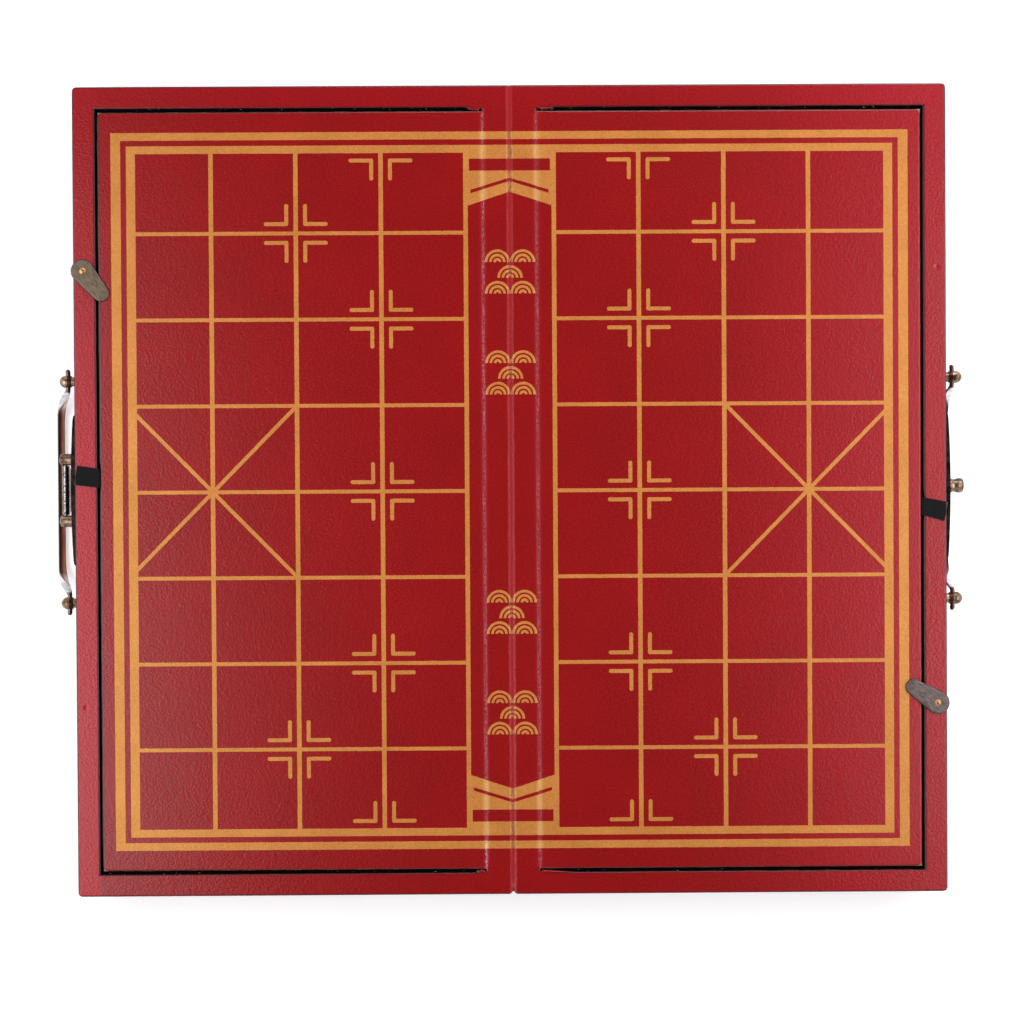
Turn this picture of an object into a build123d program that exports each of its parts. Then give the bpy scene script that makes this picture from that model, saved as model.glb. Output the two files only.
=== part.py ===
"""Folding xiangqi board case, millimetres.

Two shallow trays are joined by a leather spine, so the open case lies flat as a board and folds
up into a closed box. Each tray has a lid on a leather crease beside the spine, a turn button
that holds the lid, a ribbon to pull it and a bail on its outer side. A hasp on the left tray
closes over a knob on the right one.

Origin: on the table under the middle of the spine. +X is to the right tray, +Y to the far side,
+Z up. Every piece is drawn for the right tray and mirrored for the left one.
"""

import os
from math import cos, radians, sin

from build123d import *

# The case
HALF_WIDTH = 183.0
CASE_LENGTH = 340.0
CASE_HEIGHT = 32.0
SPINE_GAP = 0.3
SKIN = 0.8
CORNER_RADIUS = 1.8
TOP_EDGE_RADIUS = 0.6
BASE_THICKNESS = 3.0
LINING = 0.5
RAIL_WIDTH = 8.0
RIM_WIDTH = SKIN + RAIL_WIDTH + LINING
LID_SLIT = 1.5
CREASE_X = 11.3
CREASE_CLEARANCE = 0.15
LID_BOARD = 2.6
LID_BOARD_INSET = 0.3
LID_LINING_INSET = 0.6
LEDGE_WIDTH = 4.5
LEDGE_DEPTH = 4.0
LEDGE_CLEARANCE = 0.1
LEDGE_INSET = 1.0

# The printed board, measured from the middle of the open case
PRINT_THICKNESS = 0.12
GRID_X = (18.5, 54.0, 89.7, 125.2)
GRID_PITCH_Y = 36.1
GRID_ROWS = 3
COLUMN_LINE = 1.9
ROW_LINE = 1.6
INNER_FRAME_X = 160.6
INNER_FRAME_Y = 145.0
SIDE_BAND = 3.8
END_BAND = 3.25
FRAME_GAP = 2.35
OUTER_SIDE_BAND = 4.1
MARK_OFFSET = 3.1
MARK_ARM_X = 10.3
MARK_ARM_Y = 9.2
MARK_LINE = 1.65
RIVER_PANEL_Y = (134.2, 139.2)
RIVER_PANEL_HALF_WIDTH = 17.0
CHEVRON_LINE_Y = (124.75, 130.15)
CHEVRON_LINE_HALF_WIDTH = 16.4
CHEVRON_LINE = 1.45
CHEVRON_EDGE_Y = (119.3, 125.4)
RIPPLE_PLACES_Y = (92.6, 50.3)
RIPPLE_RADII = (5.3, 3.5, 1.7)
RIPPLE_LINE = 1.1
RIPPLE_ROW = 6.6
RIPPLE_ROWS = (-1, 0, 1)

# Metal fittings: distances out from the tray's outer side and heights above the table
FITTINGS_Y = 1.1
SHANK_RADIUS = 1.0
SHANK_DEPTH = 6.0
PLATE_LENGTH = 65.0
PLATE_Z = (9.5, 29.5)
PLATE_EDGE_OUT = 1.1
PLATE_CROWN_OUT = 2.1
PLATE_BEVEL = 1.2
PLATE_CORNER = 4.5
NAIL_SPAN = 54.0
NAIL_Z = 19.5
HASP_NAIL_SPAN = 35.2
HASP_NAIL_Z = 26.0
NAIL_SHANK_RADIUS = 0.6
NAIL_HEAD = ((0.0, 1.3), (0.25, 1.2), (0.5, 0.8), (0.6, 0.3))
BAIL_Y = 0.2
BAIL_AXIS_OUT = 4.5
BAIL_AXIS_Z = 20.0
POST_SPAN = 94.0
POST_LENGTH = {"right": 8.7, "left": 8.1}
POST_HEAD_RADIUS = 2.65
POST_BORE_RADIUS = 1.15
POST_NECK = ((0.0, 2.05), (2.85, 2.05), (3.05, 2.45), (3.4, 2.55))
POST_DOME = 2.7
POST_DOME_ANGLES = (20, 40, 60, 78)
BAIL_PIN_RADIUS = 1.08
BAIL_PIN_LENGTH = 9.4
BAIL_STRAP = (2.6, 1.8)
BAIL_DROP = 18.0
BAIL_ROUTE = ((4.5, 0.0), (7.6, 0.0), (8.8, 11.0), (15.5, BAIL_DROP))
BAIL_BENDS = (2.0, 6.0, 8.0)
LEFT_BAIL_TILT = 20.0
HASP_PIN_OUT = 4.9
HASP_PIN_Z = 25.5
HASP_PIN_RADIUS = 0.75
LUG_SPAN = 26.0
LUG_RADIUS = 2.5
LUG_LENGTH = 7.3
LUG_ROUNDING = ((0.9, 0.0), (0.3, 0.5), (0.0, 1.3))
LUG_SINK = 0.1
KNUCKLE_RADIUS = 1.4
KNUCKLE_BORE_RADIUS = 0.83
KNUCKLE_HALF_LENGTH = 10.3
FLAP_THICKNESS = 1.2
FLAP_SHOULDER_DROP = 6.0
FLAP_HOLE_RADIUS = 3.7
FLAP_HOLE_DROP = 15.0
FLAP_TIP_RADIUS = 5.7
KNOB = (
    (0.0, 3.2),
    (0.6, 3.2),
    (1.0, 2.9),
    (2.0, 2.6),
    (3.0, 2.85),
    (3.7, 3.1),
    (5.0, 3.1),
    (5.7, 2.7),
    (6.0, 1.9),
)

# Turn buttons and ribbons: each side has its own place, as on the real case
BUTTON_IN = 4.0
BUTTON_Y = {"right": -90.2, "left": 93.0}
BUTTON_ANGLE = {"right": 146.9, "left": 230.5}
BUTTON_REACH = 12.2
BUTTON_ROOT_RADIUS = 4.8
BUTTON_TIP_RADIUS = 3.4
BUTTON_THICKNESS = 0.9
BUTTON_BEVEL = 0.25
BUTTON_LIFT = 0.2
BUTTON_HOLE_RADIUS = 0.95
RIVET_SHANK_RADIUS = 0.9
RIVET_HEAD_RADIUS = 1.4
RIVET_HEAD_HEIGHT = 0.6
RIVET_CLEARANCE = 0.05
DIMPLE_RADIUS = 2.2
DIMPLE_DEPTH = 0.35
RIBBON_THICKNESS = 0.5
RIBBON_TAIL = 6.5
RIBBON_GAP = 0.1
RIBBON_LIFT = 0.05
RIBBON_NOTCH_DEPTH = 1.2
RIBBON_NOTCH_GAP = 1.0
RIBBON_ROOT_Y = {"right": (-11.2, -3.6), "left": (2.1, 10.1)}
RIBBON_END_Y = {"right": (-13.8, -5.9), "left": (3.5, 11.5)}
RIBBON_END_X = {"right": (182.0, 183.6), "left": (183.3, 182.0)}

# Worked-out places
SPINE_X = SPINE_GAP / 2
SIDE_X = SPINE_X + HALF_WIDTH
END_Y = CASE_LENGTH / 2
BOARD_X = (SPINE_X + SKIN, SIDE_X - SKIN)
BOARD_Y = (-END_Y + SKIN, END_Y - SKIN)
FLOOR_TOP = SKIN + BASE_THICKNESS
WALL_TOP = CASE_HEIGHT - SKIN
WALL_Z = (FLOOR_TOP, WALL_TOP)
WELL_X = (CREASE_X, SIDE_X - RIM_WIDTH)
WELL_Y = END_Y - RIM_WIDTH
LID_X = (CREASE_X + CREASE_CLEARANCE, WELL_X[1] - LID_SLIT)
LID_Y = WELL_Y - LID_SLIT
LID_BOTTOM = WALL_TOP - LID_BOARD - LINING
LEDGE_TOP = LID_BOTTOM - LEDGE_CLEARANCE
BUTTON_X = SIDE_X - BUTTON_IN
BUTTON_Z = CASE_HEIGHT + BUTTON_LIFT

# How far a cutter runs past what it cuts, and how far two printed bars run into each other
PAST = 1.0
JOIN = 0.5

OUTWARD = Plane(origin=(SIDE_X, 0, 0), x_dir=(0, 1, 0), z_dir=(1, 0, 0))


def block(x_range, y_range, z_range):
    """A box between two corners."""
    ranges = (x_range, y_range, z_range)
    size = [high - low for low, high in ranges]
    middle = [(high + low) / 2 for low, high in ranges]
    return Pos(*middle) * Box(*size)


def slab(x_range, y_half, z_range, radius):
    """A box with upright edges of a radius, symmetric about Y = 0."""
    low, high = x_range
    bottom, top = z_range
    outline = RectangleRounded(high - low, 2 * y_half, radius)
    return extrude(Pos((low + high) / 2, 0, bottom) * outline, amount=top - bottom)


def outline_of(points):
    """A flat face inside straight lines from point to point."""
    return make_face(Polyline(*points, close=True))


def rod_out(y, z, radius, start, end):
    """A cylinder along X, from start to end as distances out from the tray's side."""
    return extrude(OUTWARD.offset(start) * Pos(y, z) * Circle(radius), amount=end - start)


def rod_along(y, z, out, radius, length):
    """A cylinder along Y, at a distance out from the tray's side."""
    return Pos(SIDE_X + out, y, z) * Rot(90, 0, 0) * Cylinder(radius, length)


def turned(profile, y, z):
    """Turns a profile of (out, radius) points about an axis along X on the tray's outer side."""
    first, last = profile[0][0], profile[-1][0]
    face = outline_of([(first, 0), *profile, (last, 0)])
    return Pos(SIDE_X, y, z) * revolve(face, axis=Axis.X)


def on_shank(radius, seat, profile):
    """A fitting's profile, from the seat outwards, on the shank that is driven into the wall."""
    return [(-SHANK_DEPTH, radius), (seat, radius)] + [(seat + out, r) for out, r in profile]


def group(solids):
    """Separate solids of one node."""
    return Compound(children=list(solids))


# ---- the tray ----


def pair(middle_y, span, z):
    """Two places on the outer side, one at each end of a span."""
    return [(middle_y + end * span / 2, z) for end in (-1, 1)]


def post_places():
    return pair(BAIL_Y, POST_SPAN, BAIL_AXIS_Z)


def lug_places():
    return pair(FITTINGS_Y, LUG_SPAN, HASP_PIN_Z)


def nail_places(side):
    """The plate's nails: two on the right tray, and two more beside the hasp on the left one."""
    places = pair(FITTINGS_Y, NAIL_SPAN, NAIL_Z)
    if side == "left":
        places += pair(FITTINGS_Y, HASP_NAIL_SPAN, HASP_NAIL_Z)
    return places


def shank_holes(side):
    """Drilled holes in the outer wall, one for each shank that is driven into it."""
    thick = post_places()
    thick += lug_places() if side == "left" else [(FITTINGS_Y, HASP_PIN_Z)]
    end = PLATE_CROWN_OUT + PAST
    holes = [rod_out(y, z, SHANK_RADIUS, -SHANK_DEPTH, end) for y, z in thick]
    holes += [rod_out(y, z, NAIL_SHANK_RADIUS, -SHANK_DEPTH, end) for y, z in nail_places(side)]
    return holes


def rivet_hole(side):
    mouth = Pos(BUTTON_X, BUTTON_Y[side], CASE_HEIGHT) * Circle(RIVET_SHANK_RADIUS)
    return extrude(mouth, amount=-SHANK_DEPTH)


def base_panel():
    return block(BOARD_X, BOARD_Y, (SKIN, FLOOR_TOP))


def outer_rail(side):
    rail = block((BOARD_X[1] - RAIL_WIDTH, BOARD_X[1]), BOARD_Y, WALL_Z)
    return rail - shank_holes(side) - rivet_hole(side)


def spine_rail():
    return block((BOARD_X[0], CREASE_X - LINING), BOARD_Y, WALL_Z)


def end_rail(end):
    """The rail along the far side (end +1) or the near side (end -1)."""
    y_range = sorted((end * (BOARD_Y[1] - RAIL_WIDTH), end * BOARD_Y[1]))
    return block((CREASE_X - LINING, BOARD_X[1] - RAIL_WIDTH), y_range, WALL_Z)


def side_leather(side):
    outside = slab((SPINE_X, SIDE_X), END_Y, (SKIN, WALL_TOP), CORNER_RADIUS)
    inside = block(BOARD_X, BOARD_Y, (0, CASE_HEIGHT))
    return outside - inside - shank_holes(side)


def bottom_leather():
    return slab((SPINE_X, SIDE_X), END_Y, (0, SKIN), CORNER_RADIUS)


def rim_leather(side):
    """The board's leather round the lid: three rims and the strip along the spine."""
    sheet = slab((SPINE_X, SIDE_X), END_Y, (WALL_TOP, CASE_HEIGHT), CORNER_RADIUS)
    sheet = fillet(sheet.faces().sort_by(Axis.Z)[-1].edges(), TOP_EDGE_RADIUS)
    opening_x = (CREASE_X - CREASE_CLEARANCE, WELL_X[1])
    opening = block(opening_x, (-WELL_Y, WELL_Y), (WALL_TOP - PAST, CASE_HEIGHT + PAST))
    other = "left" if side == "right" else "right"
    dimple_z = CASE_HEIGHT + DIMPLE_RADIUS - DIMPLE_DEPTH
    dimple = Pos(BUTTON_X, BUTTON_Y[other], dimple_z) * Sphere(DIMPLE_RADIUS)
    return sheet - opening - dimple - rivet_hole(side)


def floor_lining():
    return block(WELL_X, (-WELL_Y, WELL_Y), (FLOOR_TOP, FLOOR_TOP + LINING))


def wall_lining():
    outside_x = (WELL_X[0] - LINING, WELL_X[1] + LINING)
    outside = block(outside_x, (-WELL_Y - LINING, WELL_Y + LINING), WALL_Z)
    inside = block(WELL_X, (-WELL_Y, WELL_Y), (0, CASE_HEIGHT))
    return outside - inside


def lid_ledge(side):
    """Three strips that the closed lid rests on, with a notch for the ribbon's tail."""
    levels = (LEDGE_TOP - LEDGE_DEPTH, LEDGE_TOP)
    inner_x = WELL_X[1] - LEDGE_WIDTH
    low, high = RIBBON_ROOT_Y[side]
    notch_y = (low - RIBBON_NOTCH_GAP, high + RIBBON_NOTCH_GAP)
    notch = block((inner_x - PAST, WELL_X[1]), notch_y, (LEDGE_TOP - RIBBON_NOTCH_DEPTH, LEDGE_TOP + PAST))
    strips = [block((inner_x, WELL_X[1]), (-WELL_Y, WELL_Y), levels) - notch]
    for end in (-1, 1):
        y_range = sorted((end * (WELL_Y - LEDGE_WIDTH), end * WELL_Y))
        strips.append(block((CREASE_X + LEDGE_INSET, inner_x), y_range, levels))
    return group(strips)


# ---- the lid ----


def lid_board():
    return block((LID_X[0] + LID_BOARD_INSET, LID_X[1]), (-LID_Y, LID_Y), (LID_BOTTOM + LINING, WALL_TOP))


def lid_leather():
    sheet = block(LID_X, (-LID_Y, LID_Y), (WALL_TOP, CASE_HEIGHT))
    corners = sheet.edges().filter_by(Axis.Z).sort_by(Axis.X)[-2:]
    return fillet(corners, CORNER_RADIUS)


def lid_lining():
    return block((LID_X[0] + LID_LINING_INSET, LID_X[1]), (-LID_Y, LID_Y), (LID_BOTTOM, LID_BOTTOM + LINING))


def ribbon(side):
    """A pull ribbon: glued under the lid, up through the slit and flat over the rim."""
    root_low, root_high = RIBBON_ROOT_Y[side]
    end_low, end_high = RIBBON_END_Y[side]
    low_x, high_x = RIBBON_END_X[side]
    rise_x = (LID_X[1] + RIBBON_GAP, LID_X[1] + RIBBON_GAP + RIBBON_THICKNESS)
    bottom = LID_BOTTOM - RIBBON_THICKNESS
    top = CASE_HEIGHT + RIBBON_LIFT
    tail = block((LID_X[1] - RIBBON_TAIL, rise_x[1]), (root_low, root_high), (bottom, LID_BOTTOM))
    upright = block(rise_x, (root_low, root_high), (bottom, top + RIBBON_THICKNESS))
    outline = outline_of(
        [(rise_x[0], root_low), (low_x, end_low), (high_x, end_high), (rise_x[0], root_high)]
    )
    return tail + upright + extrude(Pos(0, 0, top) * outline, amount=RIBBON_THICKNESS)


# ---- the printed board ----


def bar(x_range, y_range):
    """An upright rectangle between two corners."""
    (left, right), (near, far) = x_range, y_range
    return Pos((left + right) / 2, (near + far) / 2) * Rectangle(right - left, far - near)


def both_ends(x_range, y_range):
    """One bar at the far end of the board and its mirror image at the near end."""
    near, far = y_range
    return [bar(x_range, (near, far)), bar(x_range, (-far, -near))]


def frame_bands():
    """The two nested frames round the board."""
    inner_y = INNER_FRAME_Y - END_BAND
    outer_x = INNER_FRAME_X + FRAME_GAP
    outer_y = INNER_FRAME_Y + FRAME_GAP
    bands = both_ends((0, INNER_FRAME_X), (inner_y, INNER_FRAME_Y))
    bands.append(bar((INNER_FRAME_X - SIDE_BAND, INNER_FRAME_X), (-inner_y - JOIN, inner_y + JOIN)))
    bands += both_ends((0, outer_x + OUTER_SIDE_BAND), (outer_y, outer_y + END_BAND))
    bands.append(bar((outer_x, outer_x + OUTER_SIDE_BAND), (-outer_y - JOIN, outer_y + JOIN)))
    return bands


def grid_lines():
    """The columns and rows of one side of the board."""
    end_x = INNER_FRAME_X - SIDE_BAND + JOIN
    end_y = INNER_FRAME_Y - END_BAND + JOIN
    lines = [bar((x - COLUMN_LINE / 2, x + COLUMN_LINE / 2), (-end_y, end_y)) for x in GRID_X]
    for row in range(-GRID_ROWS, GRID_ROWS + 1):
        y = row * GRID_PITCH_Y
        lines.append(bar((GRID_X[0], end_x), (y - ROW_LINE / 2, y + ROW_LINE / 2)))
    return lines


def palace_diagonals():
    """The crossed lines of the palace, cut off where they meet the frame."""
    start_x, centre_x = GRID_X[2], GRID_X[3]
    end_x = INNER_FRAME_X - SIDE_BAND + JOIN
    slope = GRID_PITCH_Y / (centre_x - start_x)
    half = ROW_LINE / 2 * (1 + slope**2) ** 0.5
    stripes = []
    for way in (-1, 1):
        start_y = way * GRID_PITCH_Y
        end_y = way * (GRID_PITCH_Y - slope * (end_x - start_x))
        lower = [(start_x, start_y - half), (end_x, end_y - half)]
        upper = [(end_x, end_y + half), (start_x, start_y + half)]
        stripes.append(outline_of(lower + upper))
    return stripes


def corner_mark(x, y, side_x, side_y):
    """One L beside a crossing of the grid; side_x and side_y say in which quarter it lies."""
    elbow_x = x + side_x * (MARK_OFFSET + MARK_LINE / 2)
    elbow_y = y + side_y * (MARK_OFFSET + MARK_LINE / 2)
    reach_x, reach_y = MARK_ARM_X - MARK_LINE, MARK_ARM_Y - MARK_LINE
    arm_x = Pos(elbow_x + side_x * reach_x / 2, elbow_y) * SlotCenterToCenter(reach_x, MARK_LINE)
    upright = Rot(0, 0, 90) * SlotCenterToCenter(reach_y, MARK_LINE)
    return arm_x + Pos(elbow_x, elbow_y + side_y * reach_y / 2) * upright


def corner_marks():
    """The broken crosses round the starting places of cannons and soldiers."""
    crossings = [(GRID_X[2], end * GRID_ROWS * GRID_PITCH_Y) for end in (-1, 1)]
    crossings += [(GRID_X[1], row * GRID_PITCH_Y) for row in (-2, 0, 2)]
    quarters = [(side_x, side_y) for side_x in (-1, 1) for side_y in (-1, 1)]
    marks = [corner_mark(x, y, side_x, side_y) for x, y in crossings for side_x, side_y in quarters]
    edge_y = INNER_FRAME_Y - END_BAND + ROW_LINE / 2
    marks += [corner_mark(GRID_X[1], end * edge_y, side_x, -end) for end in (-1, 1) for side_x in (-1, 1)]
    return marks


def river_heads():
    """The gold block, red panel and chevron at both ends of the river."""
    block_y = INNER_FRAME_Y - END_BAND + JOIN
    edge_side, edge_middle = CHEVRON_EDGE_Y
    gold = outline_of([(0, edge_middle), (GRID_X[0], edge_side), (GRID_X[0], block_y), (0, block_y)])
    panel = bar((-PAST, RIVER_PANEL_HALF_WIDTH), RIVER_PANEL_Y)
    line_side, line_middle = CHEVRON_LINE_Y
    lower = [(-PAST, line_middle), (CHEVRON_LINE_HALF_WIDTH, line_side)]
    upper = [(x, y + CHEVRON_LINE) for x, y in reversed(lower)]
    far = gold - panel - outline_of(lower + upper)
    return [far, mirror(far, about=Plane.XZ)]


def ripples():
    """Rows of half-round ripples, an old water pattern, in four places along the river."""
    half_column = RIPPLE_RADII[0]
    scales = []
    for place_y in RIPPLE_PLACES_Y + tuple(-y for y in RIPPLE_PLACES_Y):
        for row in RIPPLE_ROWS:
            centre_x = 0 if row == 0 else half_column
            foot_y = place_y + (row - 0.5) * RIPPLE_ROW
            for radius in RIPPLE_RADII:
                ring = Circle(radius) - Circle(radius - RIPPLE_LINE)
                upper = Pos(0, radius / 2) * Rectangle(2 * radius, radius)
                scales.append(Pos(centre_x, foot_y) * (ring & upper))
    return scales


def gold_print(x_range):
    """The part of the printed board that lies between two X positions, as thin solids."""
    strip = bar(x_range, (-END_Y, END_Y))
    shapes = frame_bands() + grid_lines() + palace_diagonals() + corner_marks()
    shapes += river_heads() + ripples()
    pattern = Sketch() + shapes
    return extrude(Pos(0, 0, CASE_HEIGHT) * (pattern & strip), amount=PRINT_THICKNESS)


# ---- turn button ----


def turn_button(side):
    """A flat pear-shaped button, drawn at its pivot and pointing along +X before it is turned."""
    spread = (BUTTON_ROOT_RADIUS - BUTTON_TIP_RADIUS) / BUTTON_REACH
    lean = (1 - spread**2) ** 0.5
    ends = ((0, BUTTON_ROOT_RADIUS), (BUTTON_REACH, BUTTON_TIP_RADIUS))
    upper = [(centre + radius * spread, radius * lean) for centre, radius in ends]
    lower = [(x, -y) for x, y in reversed(upper)]
    outline = Circle(BUTTON_ROOT_RADIUS) + Pos(BUTTON_REACH, 0) * Circle(BUTTON_TIP_RADIUS)
    plate = extrude(outline + outline_of(upper + lower), amount=BUTTON_THICKNESS)
    plate = chamfer(plate.faces().sort_by(Axis.Z)[-1].edges(), BUTTON_BEVEL)
    plate -= Cylinder(BUTTON_HOLE_RADIUS, 2 * (BUTTON_THICKNESS + PAST))
    return Pos(BUTTON_X, BUTTON_Y[side], BUTTON_Z) * Rot(0, 0, BUTTON_ANGLE[side]) * plate


def button_rivet(side):
    """A dome-headed rivet through the button into the rim."""
    head_z = BUTTON_Z + BUTTON_THICKNESS + RIVET_CLEARANCE
    depth = (RIVET_HEAD_RADIUS**2 - RIVET_HEAD_HEIGHT**2) / (2 * RIVET_HEAD_HEIGHT)
    ball = Pos(0, 0, -depth) * Sphere((RIVET_HEAD_RADIUS**2 + depth**2) ** 0.5)
    reach = (-2 * RIVET_HEAD_RADIUS, 2 * RIVET_HEAD_RADIUS)
    head = Pos(0, 0, head_z) * (ball & block(reach, reach, (0, 2 * RIVET_HEAD_RADIUS)))
    shank_z = CASE_HEIGHT - SHANK_DEPTH
    shank = Pos(0, 0, (shank_z + head_z) / 2) * Cylinder(RIVET_SHANK_RADIUS, head_z - shank_z)
    return Pos(BUTTON_X, BUTTON_Y[side], 0) * (head + shank)


# ---- side fittings ----


def plate_out(y):
    """How far the crowned plate stands out from the tray's side at a place along it."""
    across = (y - FITTINGS_Y) / (PLATE_LENGTH / 2)
    return PLATE_CROWN_OUT - (PLATE_CROWN_OUT - PLATE_EDGE_OUT) * across**2


def escutcheon(side):
    """A crowned plate on the tray's outer side, drawn as seen from above and cut to its outline."""
    half = PLATE_LENGTH / 2
    lower, upper = PLATE_Z
    foot_near, foot_far = (SIDE_X, -half), (SIDE_X, half)
    edge_near = (SIDE_X + PLATE_EDGE_OUT, -half + PLATE_BEVEL)
    edge_far = (SIDE_X + PLATE_EDGE_OUT, half - PLATE_BEVEL)
    crown = ThreePointArc(edge_near, (SIDE_X + PLATE_CROWN_OUT, 0), edge_far)
    section = [Line(foot_near, edge_near), crown, Line(edge_far, foot_far), Line(foot_far, foot_near)]
    plate = extrude(Pos(0, FITTINGS_Y, lower) * make_face(section), amount=upper - lower)
    rounded = RectangleRounded(PLATE_LENGTH, upper - lower, PLATE_CORNER)
    outline = OUTWARD * Pos(FITTINGS_Y, (lower + upper) / 2) * rounded
    return (plate & extrude(outline, amount=PLATE_CROWN_OUT + PAST)) - shank_holes(side)


def nails(side):
    """Round-headed nails that hold the plate."""
    plate = escutcheon(side)
    pieces = []
    for y, z in nail_places(side):
        profile = on_shank(NAIL_SHANK_RADIUS, plate_out(y), NAIL_HEAD)
        pieces.append(turned(profile, y, z) - plate)
    return group(pieces)


def posts(length):
    """Two dome-headed posts, each bored across for an end of the bail."""
    profile = on_shank(SHANK_RADIUS, 0.0, POST_NECK)
    for angle in (0,) + POST_DOME_ANGLES:
        out = length - POST_DOME * (1 - sin(radians(angle)))
        profile.append((out, POST_HEAD_RADIUS * cos(radians(angle))))
    pieces = []
    for y, z in post_places():
        bore = rod_along(y, z, BAIL_AXIS_OUT, POST_BORE_RADIUS, 2 * (POST_HEAD_RADIUS + PAST))
        pieces.append(turned(profile, y, z) - bore)
    return group(pieces)


def bail(tilt):
    """The carrying bail: pins through both posts and a strap that drops between them."""
    half = POST_SPAN / 2
    far = [(half - inward, -drop) for inward, drop in BAIL_ROUTE]
    near = [(-y, z) for y, z in reversed(far)]
    bends = list(BAIL_BENDS) + list(reversed(BAIL_BENDS))
    path = FilletPolyline(*[(0, y, z) for y, z in far + near], radius=bends)
    start = Plane(origin=path @ 0, z_dir=path % 0, x_dir=(1, 0, 0))
    strap_x, strap_y = BAIL_STRAP
    hanging = sweep(start * Ellipse(strap_x / 2, strap_y / 2), path=path)
    for end in (-1, 1):
        pin = Rot(90, 0, 0) * Cylinder(BAIL_PIN_RADIUS, BAIL_PIN_LENGTH)
        hanging += Pos(0, end * half, 0) * pin
        hanging += Pos(0, end * (half + BAIL_PIN_LENGTH / 2), 0) * Sphere(BAIL_PIN_RADIUS)
    return Pos(SIDE_X + BAIL_AXIS_OUT, BAIL_Y, BAIL_AXIS_Z) * Rot(0, -tilt, 0) * hanging


def hasp_lugs():
    """Two round lugs that carry the hasp's pin."""
    plate = escutcheon("left")
    pieces = []
    for y, z in lug_places():
        seat = plate_out(y) - LUG_SINK
        head = [(0.0, LUG_RADIUS)]
        head += [(LUG_LENGTH - back - seat, LUG_RADIUS - less) for back, less in LUG_ROUNDING]
        bore = rod_along(y, z, HASP_PIN_OUT, HASP_PIN_RADIUS, 2 * (LUG_RADIUS + PAST))
        pieces.append(turned(on_shank(SHANK_RADIUS, seat, head), y, z) - plate - bore)
    return group(pieces)


def hasp_pin():
    return rod_along(FITTINGS_Y, HASP_PIN_Z, HASP_PIN_OUT, HASP_PIN_RADIUS, LUG_SPAN + 2 * LUG_RADIUS)


def hasp_flap():
    """The hasp leaf, hanging from its pin: a rolled knuckle, a tapered plate and a round eye."""
    half = KNUCKLE_HALF_LENGTH
    hole_z = HASP_PIN_Z - FLAP_HOLE_DROP
    right = [(half, HASP_PIN_Z), (half, HASP_PIN_Z - FLAP_SHOULDER_DROP), (FLAP_TIP_RADIUS, hole_z)]
    left = [(-y, z) for y, z in reversed(right)]
    leaf = outline_of(right + left) + Pos(0, hole_z) * Circle(FLAP_TIP_RADIUS)
    leaf -= Pos(0, hole_z) * Circle(FLAP_HOLE_RADIUS)
    inner_face = OUTWARD.offset(HASP_PIN_OUT - FLAP_THICKNESS / 2)
    plate = extrude(inner_face * Pos(FITTINGS_Y, 0) * leaf, amount=FLAP_THICKNESS)
    knuckle = rod_along(FITTINGS_Y, HASP_PIN_Z, HASP_PIN_OUT, KNUCKLE_RADIUS, 2 * half)
    bore = rod_along(FITTINGS_Y, HASP_PIN_Z, HASP_PIN_OUT, KNUCKLE_BORE_RADIUS, 2 * (half + PAST))
    return plate + knuckle - bore


def latch_knob():
    """A waisted knob on the right tray that the hasp's eye drops over."""
    return turned(on_shank(SHANK_RADIUS, PLATE_CROWN_OUT, KNOB), FITTINGS_Y, HASP_PIN_Z)


# ---- all pieces ----


def pieces_of(side):
    """Every node of one tray, its lid and its fittings."""
    pieces = {
        "base_panel": base_panel(),
        "outer_rail": outer_rail(side),
        "spine_rail": spine_rail(),
        "far_rail": end_rail(1),
        "near_rail": end_rail(-1),
        "side_leather": side_leather(side),
        "bottom_leather": bottom_leather(),
        "rim_leather": rim_leather(side),
        "floor_lining": floor_lining(),
        "wall_lining": wall_lining(),
        "lid_ledge": lid_ledge(side),
        "river_print": gold_print((SPINE_X, CREASE_X - CREASE_CLEARANCE)),
        "lid_board": lid_board(),
        "lid_leather": lid_leather(),
        "lid_lining": lid_lining(),
        "lid_ribbon": ribbon(side),
        "lid_print": gold_print((LID_X[0], SIDE_X)),
        "turn_button": turn_button(side),
        "button_rivet": button_rivet(side),
        "escutcheon": escutcheon(side),
        "escutcheon_nails": nails(side),
        "bail_posts": posts(POST_LENGTH[side]),
        "bail": bail(LEFT_BAIL_TILT if side == "left" else 0.0),
    }
    return {f"{side}_{name}": shape for name, shape in pieces.items()}


def write(name, shape, side):
    placed = shape if side == "right" else mirror(shape, about=Plane.YZ)
    export_step(placed, f"parts/{name}.step")


def main():
    os.makedirs("parts", exist_ok=True)
    for side in ("right", "left"):
        for name, shape in pieces_of(side).items():
            write(name, shape, side)
    write("hasp_lugs", hasp_lugs(), "left")
    write("hasp_pin", hasp_pin(), "left")
    write("hasp_flap", hasp_flap(), "left")
    write("latch_knob", latch_knob(), "right")


main()
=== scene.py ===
"""The folding xiangqi board case, dressed and lit. Lengths are millimetres until a mesh is made."""

from functools import partial
from math import acos, cos, pi, radians, sin, sqrt
from random import Random
import bmesh
import bpy
from mathutils import Matrix, Vector, noise


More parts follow.
